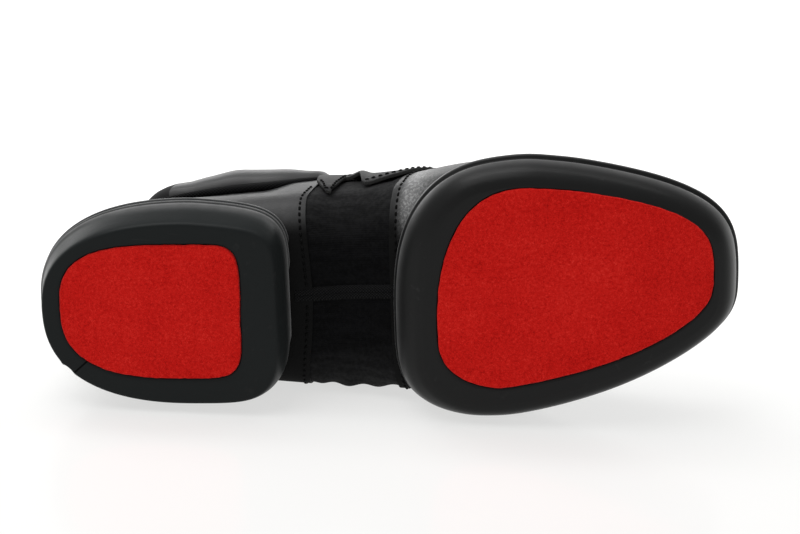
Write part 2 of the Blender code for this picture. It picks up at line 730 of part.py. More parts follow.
def evaluated_points(objects):
    """World vertices and mass-weighted centre of the finished pieces."""
    graph = bpy.context.evaluated_depsgraph_get()
    points, moment, mass = [], np.zeros(3), 0.0
    for obj in objects:
        mesh = obj.evaluated_get(graph).to_mesh()
        mesh.calc_loop_triangles()
        at = np.array([v.co for v in mesh.vertices])
        corners = at[np.array([t.vertices for t in mesh.loop_triangles])]
        volume = np.einsum("ij,ij->i", corners[:, 0], np.cross(corners[:, 1], corners[:, 2])) / 6
        weight = DENSITY[obj.data.materials[0].name]
        moment += weight * (volume[:, None] * corners.sum(axis=1) / 4).sum(axis=0)
        mass += weight * volume.sum()
        points.append(at)
    return np.concatenate(points), moment / mass


def resting_pose(points, centre):
    """Matrix that lays the shoe on the outer-side hull face under its centre of mass."""
    hull = bmesh.new()
    for p in points:
        hull.verts.new(p)
    bmesh.ops.convex_hull(hull, input=hull.verts)
    hull.normal_update()
    best = None
    for face in hull.faces:
        if face.normal.y < 0.8:
            continue
        inside = min(
            (loop.link_loop_next.vert.co - loop.vert.co)
            .cross(Vector(centre) - loop.vert.co)
            .dot(face.normal)
            for loop in face.loops
        )
        if best is None or inside > best[0]:
            best = (inside, face.normal.copy())
    hull.free()
    down = best[1]
    turn = down.rotation_difference(Vector((0, 0, -1))).to_matrix()
    toe = turn @ Vector((1, 0, 0))
    turn = Matrix.Rotation(-math.atan2(toe.y, toe.x), 3, "Z") @ turn
    laid = points @ np.array(turn).T
    low, high = laid.min(axis=0), laid.max(axis=0)
    shift = Vector((-(low[0] + high[0]) / 2, -(low[1] + high[1]) / 2, -low[2]))
    return Matrix.Translation(shift) @ turn.to_4x4()


def main():
    for obj in list(bpy.data.objects):
        bpy.data.objects.remove(obj)
    parts = collection_of("dance_shoe")
    cutters = collection_of("cutters", hidden=True)
    make_soles(parts, cutters)
    make_upper(parts)
    make_eyestay(parts)
    make_collar(parts)
    make_tongue(parts)
    make_insole(parts)
    make_laces(parts, cutters)
    hide_helpers(cutters)
    bpy.context.view_layer.update()
    pose = resting_pose(*evaluated_points(list(parts.objects)))
    frame = bpy.data.objects.new("lying_shoe", None)
    parts.objects.link(frame)
    frame.matrix_world = pose
    for obj in [*parts.objects, *cutters.objects]:
        if obj is not frame:
            obj.parent = frame
    bpy.context.view_layer.update()


main()
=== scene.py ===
"""Split-sole dance sneaker, left foot, lying on its outer side on a pale studio floor.

Shapes are worked out for the standing shoe in millimetres: x runs from heel to toe, y to the
outer side and z up from the tread.  lay() then puts them where the shoe lies, in metres.
"""

import bmesh
import bpy
import numpy as np
from mathutils import Matrix, Vector


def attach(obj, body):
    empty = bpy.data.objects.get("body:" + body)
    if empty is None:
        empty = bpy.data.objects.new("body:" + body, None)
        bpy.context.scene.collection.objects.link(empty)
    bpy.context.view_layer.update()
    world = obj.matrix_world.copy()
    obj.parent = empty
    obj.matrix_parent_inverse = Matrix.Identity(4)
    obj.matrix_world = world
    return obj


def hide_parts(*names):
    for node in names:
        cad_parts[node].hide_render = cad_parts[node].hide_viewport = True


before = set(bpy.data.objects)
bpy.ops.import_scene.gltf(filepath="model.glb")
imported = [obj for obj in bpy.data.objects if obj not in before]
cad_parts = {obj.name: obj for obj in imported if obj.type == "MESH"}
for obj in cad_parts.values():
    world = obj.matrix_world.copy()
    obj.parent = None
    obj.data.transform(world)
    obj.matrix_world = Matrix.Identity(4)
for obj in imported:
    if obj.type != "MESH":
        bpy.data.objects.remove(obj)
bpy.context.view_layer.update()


# Quarter: the rear half of the upper, soft black side leather with a cloth lining. Two halves
# are closed down the back of the heel, pulled over the last and cemented under the heel seat.
LIE_SWING = np.radians(2.878)
LIE_TILT = np.radians(2.884)
LIE_ORIGIN = (-133.90, -58.13, 38.99)


def lay(points):
    """Standing millimetres to lying metres: tipped onto the outer side, then swung level."""
    x, y, z = np.moveaxis(np.asarray(points, float), -1, 0)
    side = np.cos(LIE_TILT) * y + np.sin(LIE_TILT) * z
    rise = np.cos(LIE_TILT) * z - np.sin(LIE_TILT) * y
    along = np.cos(LIE_SWING) * x + np.sin(LIE_SWING) * side
    up = np.sin(LIE_SWING) * x - np.cos(LIE_SWING) * side
    return (np.stack([along, rise, up], axis=-1) + LIE_ORIGIN) / 1000.0


# Sections of the last: half widths to each side of the centre line, heights of the floor, of
# the widest line, of its extra rise on the inner side and of the ridge, squareness of the floor
LAST_COLUMNS = (
    "x", "centre", "medial", "lateral", "floor", "widest", "medial_rise", "ridge", "square",
)
LAST = np.array([
    (2.5, 0.0, 34.0, 33.5, 17.0, 31.0, 0.0, 93.0, 3.2),
    (60.0, 0.0, 34.0, 33.5, 17.0, 31.0, 2.0, 95.0, 3.2),
    (95.0, -1.0, 34.0, 38.0, 19.0, 31.0, 10.0, 101.0, 2.9),
    (118.0, -1.5, 33.2, 41.0, 22.0, 30.0, 18.0, 96.0, 2.5),
    (140.0, -3.0, 37.0, 42.0, 17.5, 28.0, 10.0, 81.5, 2.7),
    (165.0, -4.5, 43.5, 44.5, 12.5, 25.0, 2.0, 67.0, 3.2),
    (188.0, -6.0, 45.5, 47.5, 10.0, 22.0, 0.0, 57.0, 3.4),
    (214.0, -7.0, 46.0, 48.0, 10.0, 21.0, 0.0, 50.0, 3.4),
    (264.0, -9.5, 46.0, 48.0, 10.0, 20.0, 0.0, 44.0, 3.2),
])
HEEL_X, HEEL_WIDEST_X, HEEL_ROUNDNESS = 2.5, 60.0, 2.6
TOE_X, TOE_BOX_X, TOE_BOX_ROUNDNESS = 264.0, 214.0, 2.5
TOE_MEDIAL_X, TOE_MEDIAL_ROUNDNESS, TOE_MEDIAL_TAPER = 188.0, 3.3, 0.31
TOE_LATERAL_X, TOE_LATERAL_ROUNDNESS, TOE_LATERAL_TAPER = 180.0, 3.9, 0.46
TAPER_POWER = 1.3
UPPER_ROUNDNESS = 2.2
ARCH_LIFT, ARCH_X, ARCH_SPREAD = 6.0, 120.0, 26.0
TOE_SPRING, TOE_SPRING_X, SOLE_TOE_X = 9.0, 216.0, 267.0
COUNTER_Z, COUNTER_LEAN = 38.0, 0.0035
HEEL_PINCH, HEEL_PINCH_X = 0.34, 70.0
NORMAL_STEP, END_CLEAR, POLE_ANGLE = 0.5, 0.6, 89.0
COLLAR_FRONT_X, COLLAR_END_X, THROAT_END_X = 109.0, 112.0, 172.0
THROAT_TOP_HALF, THROAT_LOW_HALF, THROAT_ROUND = 17.0, 9.0, 10.0
MARGIN_ANGLE, MARGIN_RUN = -54.0, 14.0
MARGIN_HEEL_X, ARCH_REAR_X, ARCH_FRONT_X, MARGIN_TOE_X = 13.0, 93.0, 147.0, 250.0
SEAM_COLUMNS = ("x", "height", "half_height", "half_thick", "stand_off")
SEAM = np.array([
    (2.5, 60.0, 10.5, 4.4, 0.8),
    (25.0, 57.0, 11.0, 4.8, 0.9),
    (50.0, 53.5, 11.3, 6.4, 2.0),
    (75.0, 53.0, 11.5, 8.0, 3.8),
    (95.0, 59.5, 10.0, 7.4, 3.4),
    (106.0, 72.5, 6.5, 4.4, 1.6),
    (112.0, 92.5, 3.0, 2.4, 0.8),
])


def smooth(x, xs, ys):
    """Cubic curve through table points, with slopes from their neighbours."""
    slopes = np.gradient(ys, xs)
    x = np.clip(x, xs[0], xs[-1])
    k = np.clip(np.searchsorted(xs, x, side="right") - 1, 0, len(xs) - 2)
    run = xs[k + 1] - xs[k]
    t = (x - xs[k]) / run
    rise = ys[k] * (1 + 2 * t) * (1 - t) ** 2 + ys[k + 1] * t * t * (3 - 2 * t)
    return rise + run * (slopes[k] * t * (1 - t) ** 2 - slopes[k + 1] * t * t * (1 - t))


def last_size(name, x):
    """One named column of the last's table, read at x."""
    return smooth(x, LAST[:, 0], LAST[:, LAST_COLUMNS.index(name)])


def seam_size(name, x):
    """One named column of the collar seam's table, read at x."""
    return smooth(x, SEAM[:, 0], SEAM[:, SEAM_COLUMNS.index(name)])


def round_end(share, roundness):
    """Height of a quarter superellipse: 1 at share 0 or less, 0 at share 1."""
    return (1.0 - np.clip(share, 0.0, 1.0) ** roundness) ** (1.0 / roundness)


def tapered_end(share, roundness, taper):
    """A rounded end that also narrows evenly on its way there."""
    return round_end(share, roundness) * (1.0 - taper * np.clip(share, 0.0, 1.0) ** TAPER_POWER)


def ease(share):
    """Smooth step from 0 to 1: three share squared less two share cubed."""
    share = np.clip(share, 0.0, 1.0)
    return share * share * (3.0 - 2.0 * share)


def window(x, start, rise, end, fall):
    """1 in the middle of a span, easing from 0 after its start and back to 0 before its end."""
    return ease((x - start) / rise) * ease((end - x) / fall)


def bell(x, centre, spread):
    """Bell curve: the exponential of minus the squared distance from its centre, in spreads."""
    return np.exp(-(((x - centre) / spread) ** 2))


def unit(vectors):
    """Directions of vectors: each divided by its own length."""
    return vectors / np.linalg.norm(vectors, axis=-1, keepdims=True)


def every_pair(first, second):
    """Two grids that pair each of the first values, along the rows, with each of the second."""
    return np.meshgrid(first, second, indexing="ij")


def same_shape(*values):
    """Numbers and arrays as arrays of one shape."""
    return np.broadcast_arrays(*(np.asarray(value, float) for value in values))


def tread_rise(x):
    """Toe spring: the tread's lift, a parabola from the ball to the toe."""
    return TOE_SPRING * np.clip((x - TOE_SPRING_X) / (SOLE_TOE_X - TOE_SPRING_X), 0.0, 1.2) ** 2


def section(x, side):
    """Sizes of the last's section: the table's columns, drawn in by the round heel and toe."""
    medial = last_size("medial", x) * tapered_end(
        (x - TOE_MEDIAL_X) / (TOE_X - TOE_MEDIAL_X), TOE_MEDIAL_ROUNDNESS, TOE_MEDIAL_TAPER)
    lateral = last_size("lateral", x) * tapered_end(
        (x - TOE_LATERAL_X) / (TOE_X - TOE_LATERAL_X), TOE_LATERAL_ROUNDNESS, TOE_LATERAL_TAPER)
    heel = round_end((HEEL_WIDEST_X - x) / (HEEL_WIDEST_X - HEEL_X), HEEL_ROUNDNESS)
    half = np.where(side > 0, lateral, medial) * heel
    box = round_end((x - TOE_BOX_X) / (TOE_X - TOE_BOX_X), TOE_BOX_ROUNDNESS)
    floor = last_size("floor", x)
    rise = np.where(side < 0, last_size("medial_rise", x), 0.0)
    widest = floor + (last_size("widest", x) + rise - floor) * box
    ridge = floor + (last_size("ridge", x) - floor) * box
    spring = tread_rise(x)
    centre, square = last_size("centre", x), last_size("square", x)
    return centre, half, floor + spring, widest + spring, ridge + spring, square


def last_point(x, side, angle):
    """Point of the last at x on one side (+1 outer, -1 inner).

    The section is a superellipse in two halves: angle -90 is the floor's centre, 0 the widest
    line and 90 the ridge.  The floor lifts under the inner arch and the counter leans at the heel.
    """
    x, side, angle = same_shape(x, side, angle)
    centre, half, floor, widest, ridge, square = section(x, side)
    power = 2.0 / np.where(angle < 0, square, UPPER_ROUNDNESS)
    reach = np.abs(np.cos(np.radians(angle))) ** power
    climb = np.abs(np.sin(np.radians(angle))) ** power
    pinch = HEEL_PINCH * np.clip(1.0 - x / HEEL_PINCH_X, 0.0, 1.0)
    half = half * (1.0 - np.where(angle > 0, pinch * climb, 0.0))
    lift = ARCH_LIFT * bell(x, ARCH_X, ARCH_SPREAD)
    floor = floor + np.where(side < 0, lift * reach**2, 0.0)
    z = np.where(angle < 0, widest - (widest - floor) * climb, widest + (ridge - widest) * climb)
    back = np.clip(1.0 - (x - HEEL_X) / (HEEL_WIDEST_X - HEEL_X), 0.0, 1.0) ** 2
    lean = COUNTER_LEAN * (z - COUNTER_Z) ** 2 * back
    return np.stack([x + lean, centre + side * half * reach, z], axis=-1)


def last_normal(x, side, angle):
    """Outward direction of the last: the cross product of small steps along it and round it."""
    x, side, angle = same_shape(x, side, angle)
    near = np.clip(x, HEEL_X + END_CLEAR, TOE_X - END_CLEAR)
    turn = np.clip(angle, -POLE_ANGLE, POLE_ANGLE)
    along = last_point(near + NORMAL_STEP, side, turn) - last_point(near - NORMAL_STEP, side, turn)
    inward = last_point(near, side, turn - NORMAL_STEP) - last_point(near, side, turn + NORMAL_STEP)
    out = np.cross(along, inward) * side[..., None]
    out[..., 1] *= (np.abs(angle) < POLE_ANGLE) & (x > HEEL_X) & (x < TOE_X)
    return unit(out)


def skin(x, side, angle, out):
    """Point of a layer that lies a distance out from the last."""
    return last_point(x, side, angle) + np.asarray(out)[..., None] * last_normal(x, side, angle)


def angle_at_height(x, side, z):
    """Angle at which the section's upper or lower half reaches height z."""
    _, _, floor, widest, ridge, square = section(x, side)
    above = np.clip((z - widest) / np.maximum(ridge - widest, 1e-6), 0.0, 1.0)
    below = np.clip((widest - z) / np.maximum(widest - floor, 1e-6), 0.0, 1.0)
    up = np.degrees(np.arcsin(above ** (UPPER_ROUNDNESS / 2)))
    return up - np.degrees(np.arcsin(below ** (square / 2)))


def angle_at_side(x, side, distance):
    """Angle at which the section's upper half lies this far to the side of the ridge."""
    _, half, _, _, _, _ = section(x, side)
    share = np.clip(distance / np.maximum(half, 1e-6), 0.0, 1.0)
    return np.degrees(np.arccos(share ** (UPPER_ROUNDNESS / 2)))


def throat_half(x):
    """Half the width of the throat slot, tapered forward and rounded off at its toe end."""
    share = (x - COLLAR_END_X) / (THROAT_END_X - COLLAR_END_X)
    width = THROAT_TOP_HALF + (THROAT_LOW_HALF - THROAT_TOP_HALF) * share
    return width * round_end((x - THROAT_END_X + THROAT_ROUND) / THROAT_ROUND, 2.0)


def opening_angle(x, side):
    """Angle at which the upper ends: at the collar seam, along the throat, or at the ridge."""
    collar = angle_at_height(x, side, seam_size("height", x))
    throat = angle_at_side(x, side, throat_half(x))
    return np.where(x < COLLAR_END_X, collar, np.where(x < THROAT_END_X, throat, 90.0))


def floor_angle(x):
    """Angle at which the upper starts: closed under heel tip, arch and toe, else a margin."""
    heel = np.minimum(x - MARGIN_HEEL_X, ARCH_REAR_X - x)
    fore = np.minimum(x - ARCH_FRONT_X, MARGIN_TOE_X - x)
    share = np.clip(np.maximum(heel, fore) / MARGIN_RUN, 0.0, 1.0)
    return -90.0 + (MARGIN_ANGLE + 90.0) * np.sqrt(share)


def grid_faces(rows, columns, closed):
    """Quads over a grid of points; a closed grid joins its last column to its first."""
    i, j = every_pair(np.arange(rows - 1), np.arange(columns - (not closed)))
    k = (j + 1) % columns
    return np.stack(
        [i * columns + j, i * columns + k, (i + 1) * columns + k, (i + 1) * columns + j], axis=-1
    ).reshape(-1, 4)


WELD_REACH, SLIVER = 2e-6, 1e-7


def new_piece(name, grids, materials, closed=False, turn=False, **attributes):
    """A mesh object from grids of points in standing millimetres, laid down and welded.

    A grid is rows by columns of points, and may hold many alike in a leading axis.  Attributes
    are one value for each point, grid after grid.  turn=True makes the faces of a closed form
    point outwards.
    """
    points, faces, start = [], [], 0
    for grid in grids:
        rows, columns = grid.shape[-3:-1]
        copies = grid.size // (rows * columns * 3)
        starts = start + np.arange(copies) * rows * columns
        faces.append((grid_faces(rows, columns, closed) + starts[:, None, None]).reshape(-1, 4))
        points.append(grid.reshape(-1, 3))
        start += copies * rows * columns
    mesh = bpy.data.meshes.new(name)
    mesh.from_pydata(lay(np.concatenate(points)).tolist(), [], np.concatenate(faces).tolist())
    for key, values in attributes.items():
        layer = mesh.attributes.new(key, "FLOAT", "POINT")
        layer.data.foreach_set("value", np.concatenate([np.ravel(v) for v in values]))
    work = bmesh.new()
    work.from_mesh(mesh)
    bmesh.ops.remove_doubles(work, verts=work.verts, dist=WELD_REACH)
    bmesh.ops.dissolve_degenerate(work, edges=work.edges, dist=SLIVER)
    if turn:
        bmesh.ops.recalc_face_normals(work, faces=work.faces)
    work.to_mesh(mesh)
    work.free()
    mesh.shade_smooth()
    for material in materials:
        mesh.materials.append(material)
    piece = bpy.data.objects.new(name, mesh)
    bpy.context.scene.collection.objects.link(piece)
    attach(piece, "root")
    return piece


EDGE_SEGMENTS, EDGE_ANGLE = 2, np.radians(50.0)


def thicken(piece, thickness, edge=0.0, lined=False):
    """Gives a sheet its thickness inwards, in millimetres, with its cut edges rounded over."""
    wall = piece.modifiers.new("wall", "SOLIDIFY")
    wall.thickness = thickness / 1000.0
    wall.offset = -1.0
    wall.material_offset = int(lined)
    wall.material_offset_rim = len(piece.data.materials) - 1
    if edge:
        rounding = piece.modifiers.new("edge", "BEVEL")
        rounding.width = edge / 1000.0
        rounding.segments = EDGE_SEGMENTS
        rounding.limit_method = "ANGLE"
        rounding.angle_limit = EDGE_ANGLE


class Signal:
    """One shader value; Python's operators on it add Math nodes to its material."""

    def __init__(self, tree, socket):
        self.tree = tree
        self.socket = socket

    def node(self, kind, settings, sockets, out=0):
        """Adds a node: its type, its settings, then values or links of its sockets."""
        made = self.tree.nodes.new(kind)
        for name, value in settings.items():
            if name == "stops":
                ramp = made.color_ramp
                while len(ramp.elements) < len(value):
                    ramp.elements.new(0.5)
                for element, (position, colour) in zip(ramp.elements, value):
                    element.position = position
                    element.color = colour
            else:
                setattr(made, name, value)
        for key, value in sockets.items():
            if isinstance(value, Signal):
                self.tree.links.new(value.socket, made.inputs[key])
            else:
                made.inputs[key].default_value = value
        return Signal(self.tree, made.outputs[out])

    def math(self, operation, first, second=0.0):
        """One Math node on one or two values."""
        return self.node("ShaderNodeMath", {"operation": operation}, {0: first, 1: second})

    def __add__(self, other):
        return self.math("ADD", self, other)

    __radd__ = __add__

    def __sub__(self, other):
        return self.math("SUBTRACT", self, other)

    def __rsub__(self, other):
        return self.math("SUBTRACT", other, self)

    def __mul__(self, other):
        return self.math("MULTIPLY", self, other)

    __rmul__ = __mul__

    def __abs__(self):
        return self.math("ABSOLUTE", self)

    def sine(self):
        """Sine of this value in radians."""
        return self.math("SINE", self)

    def ramp(self, low, high):
        """Smooth step of this value from 0 to 1 between two limits."""
        limits = {"Value": self, "From Min": low, "From Max": high}
        return self.node("ShaderNodeMapRange", {"interpolation_type": "SMOOTHSTEP"}, limits)

    def noise(self, scale, detail=3.0, roughness=0.55):
        """Fractal noise over these coordinates."""
        values = {"Vector": self, "Scale": scale, "Detail": detail, "Roughness": roughness}
        return self.node("ShaderNodeTexNoise", {}, values)

    def cells(self, scale):
        """Distance to the nearest of scattered points: pebbles with creases between them."""
        return self.node("ShaderNodeTexVoronoi", {"feature": "F1"}, {"Vector": self, "Scale": scale})

    def blend(self, first, second):
        """Mix of two colours by this value."""
        values = {0: self, 6: first, 7: second}
        return self.node("ShaderNodeMix", {"data_type": "RGBA"}, values, out=2)

    def stretched(self, x, y, z):
        """These coordinates scaled differently along each axis."""
        return self.node("ShaderNodeVectorMath", {"operation": "MULTIPLY"}, {0: self, 1: (x, y, z)})

    def attribute(self, name):
        """A value that the mesh carries at its points."""
        return self.node("ShaderNodeAttribute", {"attribute_name": name}, {}, out=2)

    def bump(self, height, distance, strength, under=None):
        """Normal of a surface raised by a height signal, distance in metres."""
        values = {"Height": height, "Distance": distance, "Strength": strength}
        if under is not None:
            values["Normal"] = under
        return self.node("ShaderNodeBump", {}, values)


def new_finish(name, **fixed):
    """A material with its shader's constant sockets set; returns it and its object coordinates."""
    material = bpy.data.materials.new(name)
    material.use_nodes = True
    shader = material.node_tree.nodes["Principled BSDF"]
    for key, value in fixed.items():
        shader.inputs[key.replace("_", " ")].default_value = value
    coordinates = material.node_tree.nodes.new("ShaderNodeTexCoord").outputs["Object"]
    return material, Signal(material.node_tree, coordinates)


def finish(material, **sockets):
    """Links signals to the shader of a material."""
    shader = material.node_tree.nodes["Principled BSDF"]
    for key, signal in sockets.items():
        material.node_tree.links.new(signal.socket, shader.inputs[key.replace("_", " ")])


LASTED_AND_SHADE_BLACK, SCUFF_GREY = (0.0025, 0.0025, 0.0025, 1.0), (0.30, 0.30, 0.30, 1.0)


def leather_finish(name, colour, paler, roughness, coat, scuffs=0.0):
    """Pebbled side leather: creases between small cells, soft pull-up marks and places duller from
    rubbing.

    Near black and dull under the foot, where the leather is pulled over the last and roughed, and as
    painted shade up the outer side, which faces down.  coat is the weight of the clear finish, and scuffs
    how far it wears off, in specks, where the mesh's scuffed attribute is 1.
    """
    material, place = new_finish(name, Specular_IOR_Level=0.1 + 0.2 * coat, Coat_Roughness=0.42)
    broad = place.noise(38.0, 4.0)
    fine = place.noise(420.0, 3.0)
    pebble = place.cells(1050.0) * 0.6 + place.noise(2300.0, 2.0) * 0.5
    rubbed = broad.ramp(0.50, 0.72) * fine.ramp(0.42, 0.62)
    # Near black under the foot, and as painted shade up the downward outer side
    lasted = place.attribute("lasted")
    hide = lasted.blend(rubbed.blend((*colour, 1.0), (*paler, 1.0)), LASTED_AND_SHADE_BLACK)
    if scuffs:
        speck = place.noise(900.0, 4.0, 0.7).ramp(0.44, 0.66) * 0.6 + 0.4
        hide = (place.attribute("scuffed") * speck * scuffs).blend(hide, SCUFF_GREY)
    finish(
        material,
        Base_Color=hide,
        Roughness=roughness - 0.10 + broad * 0.16 + fine * 0.06 + lasted * 0.3,
        Coat_Weight=(1.0 - lasted) * (0.4 + broad) * coat,
        Normal=place.bump(place.noise(150.0, 3.0), 0.0006, 0.35, place.bump(pebble, 0.00012, 0.7)),
    )
    return material


def cloth_finish(name, colour, thread, roughness, pitch):
    """Woven cloth: two crossed sets of threads at a pitch in millimetres, with a little lint."""
    material, place = new_finish(name, Specular_IOR_Level=0.08)
    turns = 2.0 * np.pi * 1000.0 / pitch
    axes = place.node("ShaderNodeSeparateXYZ", {}, {0: place})
    parts = [Signal(place.tree, axes.socket.node.outputs[k]) for k in range(3)]
    weave = (parts[0] * turns).sine() * ((parts[1] + parts[2]) * turns).sine()
    lint = place.noise(900.0, 2.0)
    finish(
        material,
        Base_Color=weave.ramp(-0.6, 0.9).blend((*colour, 1.0), (*thread, 1.0)),
        Roughness=roughness - 0.05 + lint * 0.1,
        Normal=place.bump(weave + lint, 0.00014, 0.8),
    )
    return material


BLACK_LEATHER = leather_finish(
    "quarter_leather", (0.041, 0.041, 0.0415), (0.058, 0.058, 0.0585), 0.50, coat=0.18)
LINING_CLOTH = cloth_finish("lining_cloth", (0.006, 0.006, 0.007), (0.017, 0.017, 0.018), 0.9, 0.8)
LEATHER_OUT, LEATHER_WALL, CUT_EDGE = 2.0, 1.5, 0.3
raw_edge, place = new_finish("raw_leather_edge", Specular_IOR_Level=0.3)
fibre = place.noise(1400.0, 4.0)
finish(
    raw_edge,
    Base_Color=fibre.blend((0.012, 0.012, 0.012, 1.0), (0.060, 0.060, 0.058, 1.0)),
    Roughness=0.7 + fibre * 0.2,
    Normal=place.bump(fibre, 0.0002, 0.6),
)

# Front edge of the quarter, from the floor's centre to the collar: share of the way up, and x
QUARTER_EDGE = np.array([
    (0.0, 104.6), (0.15, 103.6), (0.35, 102.2), (0.6, 101.6), (0.74, 102.2),
    (0.82, 103.6), (0.88, 106.0), (0.94, 109.0), (1.0, 111.6),
])
QUARTER_COLUMNS, QUARTER_ROWS, HEEL_STEPPING = 110, 66, 2.2
# Under the collar band the edge is cut lower and sunk, and the counter is skived behind it.
# Spans are a start, a rise, an end and a fall.
BAND_DROP, BAND_DROP_SPAN = 1.6, (12.0, 20.0, 106.0, 12.0)
BAND_SINK, BAND_SINK_SPAN, SINK_FROM, SINK_RUN = 1.9, (20.0, 25.0, 96.0, 14.0), 0.80, 0.18
COUNTER_SKIVE, SKIVE_END_X, SKIVE_RUN = 1.2, 48.0, 25.0
SKIVE_FROM_ANGLE, SKIVE_TURN = -10.0, 20.0
# Painted shade: the near-black under-foot colour reaches further up the outer side, which faces down.
LASTED_AND_SHADE_FROM, LASTED_AND_SHADE_RUN = -32.0, 24.0
PAINTED_SHADE_OUTER, PAINTED_SHADE_OUTER_SPAN = 50.0, (12.0, 50.0, 250.0, 60.0)


def lasted(x, side, angle):
    """1 under the foot, where the leather is pulled over the last, easing to 0 higher up; on the outer
    side, which faces down, it reaches higher as painted shade.
    """
    outer = np.where(side > 0, PAINTED_SHADE_OUTER, 0.0) * window(x, *PAINTED_SHADE_OUTER_SPAN)
    return ease((LASTED_AND_SHADE_FROM + outer - angle) / LASTED_AND_SHADE_RUN)


def quarter_place(along, up, back=0.0):
    """Place on the last of a quarter point.

    along runs from -1 at the inner front edge over 0 at the heel's back to 1 at the outer front
    edge, with x as its power so that the round heel is evenly stepped; up runs from the floor to
    the collar seam; back keeps a distance behind the front edge.
    """
    side = np.where(along < 0, -1.0, 1.0)
    front = smooth(up, QUARTER_EDGE[:, 0], QUARTER_EDGE[:, 1]) - back
    x = HEEL_X + (front - HEEL_X) * np.abs(along) ** HEEL_STEPPING
    low = floor_angle(x)
    drop = BAND_DROP * window(x, *BAND_DROP_SPAN)
    by_collar = angle_at_height(x, side, seam_size("height", x) - drop)
    high = np.where(x < COLLAR_END_X, by_collar, opening_angle(x, side))
    return x, side, low + (high - low) * up


along, up = every_pair(
    np.linspace(-1.0, 1.0, 2 * QUARTER_COLUMNS + 1), np.linspace(0.0, 1.0, QUARTER_ROWS))
x, side, angle = quarter_place(along, up)
skive = ease((SKIVE_END_X - x) / SKIVE_RUN) * ease((angle - SKIVE_FROM_ANGLE) / SKIVE_TURN)
sink = window(x, *BAND_SINK_SPAN) * ease((up - SINK_FROM) / SINK_RUN)
leather_out = LEATHER_OUT - COUNTER_SKIVE * skive - BAND_SINK * sink
quarter = new_piece(
    "quarter", [skin(x, side, angle, leather_out)], [BLACK_LEATHER, LINING_CLOTH, raw_edge],
    lasted=[lasted(x, side, angle)])
thicken(quarter, LEATHER_WALL, CUT_EDGE, lined=True)
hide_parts("upper")


# Arch panels: black stretch cloth on both sides of the arch, sewn together under the foot with a
# taped seam. They are let in between quarter and vamp, so that the two soles can bend apart.
STRETCH_OUT, STRETCH_WALL = 1.25, 0.9
ARCH_PANEL_REAR, ARCH_PANEL_FRONT = 97.0, 150.0
ARCH_COLUMNS, ARCH_ROWS, ARCH_TOP_ANGLE = 110, 90, 52.0
WRINKLE_PITCH, WRINKLE_HEIGHT, WRINKLE_X, WRINKLE_SLANT = 12.4, 0.55, 101.0, 0.02
SLACK_INNER, SLACK_ANGLE, SLACK_SPREAD = 0.35, 2.0, 30.0
RIPPLE_HEIGHT, RIPPLE_STEP, RIPPLE_LEAN, RIPPLE_TURN = 0.12, 1.7, 9.0, 7.0
SLACK_SPAN = (102.0, 6.0, 142.0, 5.0)
RIB_PITCH, YARN_PITCH, PAINTED_LIGHT_FROM, PAINTED_LIGHT_TO = 0.9, 0.6, 18.0, 52.0
stretch_cloth, place = new_finish("stretch_cloth", Specular_IOR_Level=0.07)
rib = (place.attribute("round_mm") * (2.0 * np.pi / RIB_PITCH)).sine()
yarn = (place.attribute("along_mm") * (2.0 * np.pi / YARN_PITCH)).sine()
lint = place.noise(700.0, 3.0)
streak = place.stretched(40.0, 260.0, 260.0).noise(1.0, 4.0)
# Painted light: paler up towards the throat, which faces the lamps, and near black down the lower side,
# in shade.
rubbed = place.attribute("round_mm").ramp(PAINTED_LIGHT_FROM, PAINTED_LIGHT_TO)
finish(
    stretch_cloth,
    Base_Color=(streak + lint).ramp(0.7, 1.35).blend(
        rubbed.blend((0.0014, 0.0014, 0.0016, 1.0), (0.0120, 0.0120, 0.0124, 1.0)),
        rubbed.blend((0.0050, 0.0050, 0.0055, 1.0), (0.0300, 0.0300, 0.0305, 1.0))),
    Roughness=0.78 + lint * 0.12,
    Normal=place.bump(rib + yarn * 0.6, 0.00004, 0.5, place.bump(streak, 0.0006, 0.4)),
)


def arch_panel_point(x, side, angle):
    """Stretch cloth: a thin layer on the last with soft folds across the sides, mostly the lower one."""
    slack = np.where(side > 0, 1.0, SLACK_INNER) * bell(angle, SLACK_ANGLE, SLACK_SPREAD)
    fold = np.sin(2.0 * np.pi * (x - WRINKLE_X) / WRINKLE_PITCH + WRINKLE_SLANT * angle)
    ripple = RIPPLE_HEIGHT * np.sin(x / RIPPLE_STEP + angle / RIPPLE_LEAN) * np.sin(angle / RIPPLE_TURN)
    loose = window(x, *SLACK_SPAN) * (WRINKLE_HEIGHT * slack * fold + ripple)
    return skin(x, side, angle, STRETCH_OUT + loose)


def arch_panel_side(side):
    """One side's panel, from the seam under the foot to the throat, with its arc lengths."""
    x, up = every_pair(
        np.linspace(ARCH_PANEL_REAR, ARCH_PANEL_FRONT, ARCH_COLUMNS), np.linspace(0.0, 1.0, ARCH_ROWS))
    high = np.minimum(opening_angle(x, side), ARCH_TOP_ANGLE)
    angle = -90.0 + (high + 90.0) * up
    points = arch_panel_point(x, side, angle)
    steps = np.linalg.norm(np.diff(points, axis=1, prepend=points[:, :1]), axis=-1)
    order = slice(None, None, 1 if side > 0 else -1)
    return points[order], x[order], np.cumsum(steps, axis=1)[order]


sides = [arch_panel_side(side) for side in (1.0, -1.0)]
arch_panels = new_piece(
    "arch_panels", [s[0] for s in sides], [stretch_cloth, LINING_CLOTH],
    along_mm=[s[1] for s in sides], round_mm=[s[2] for s in sides])
thicken(arch_panels, STRETCH_WALL, lined=True)
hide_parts("upper")

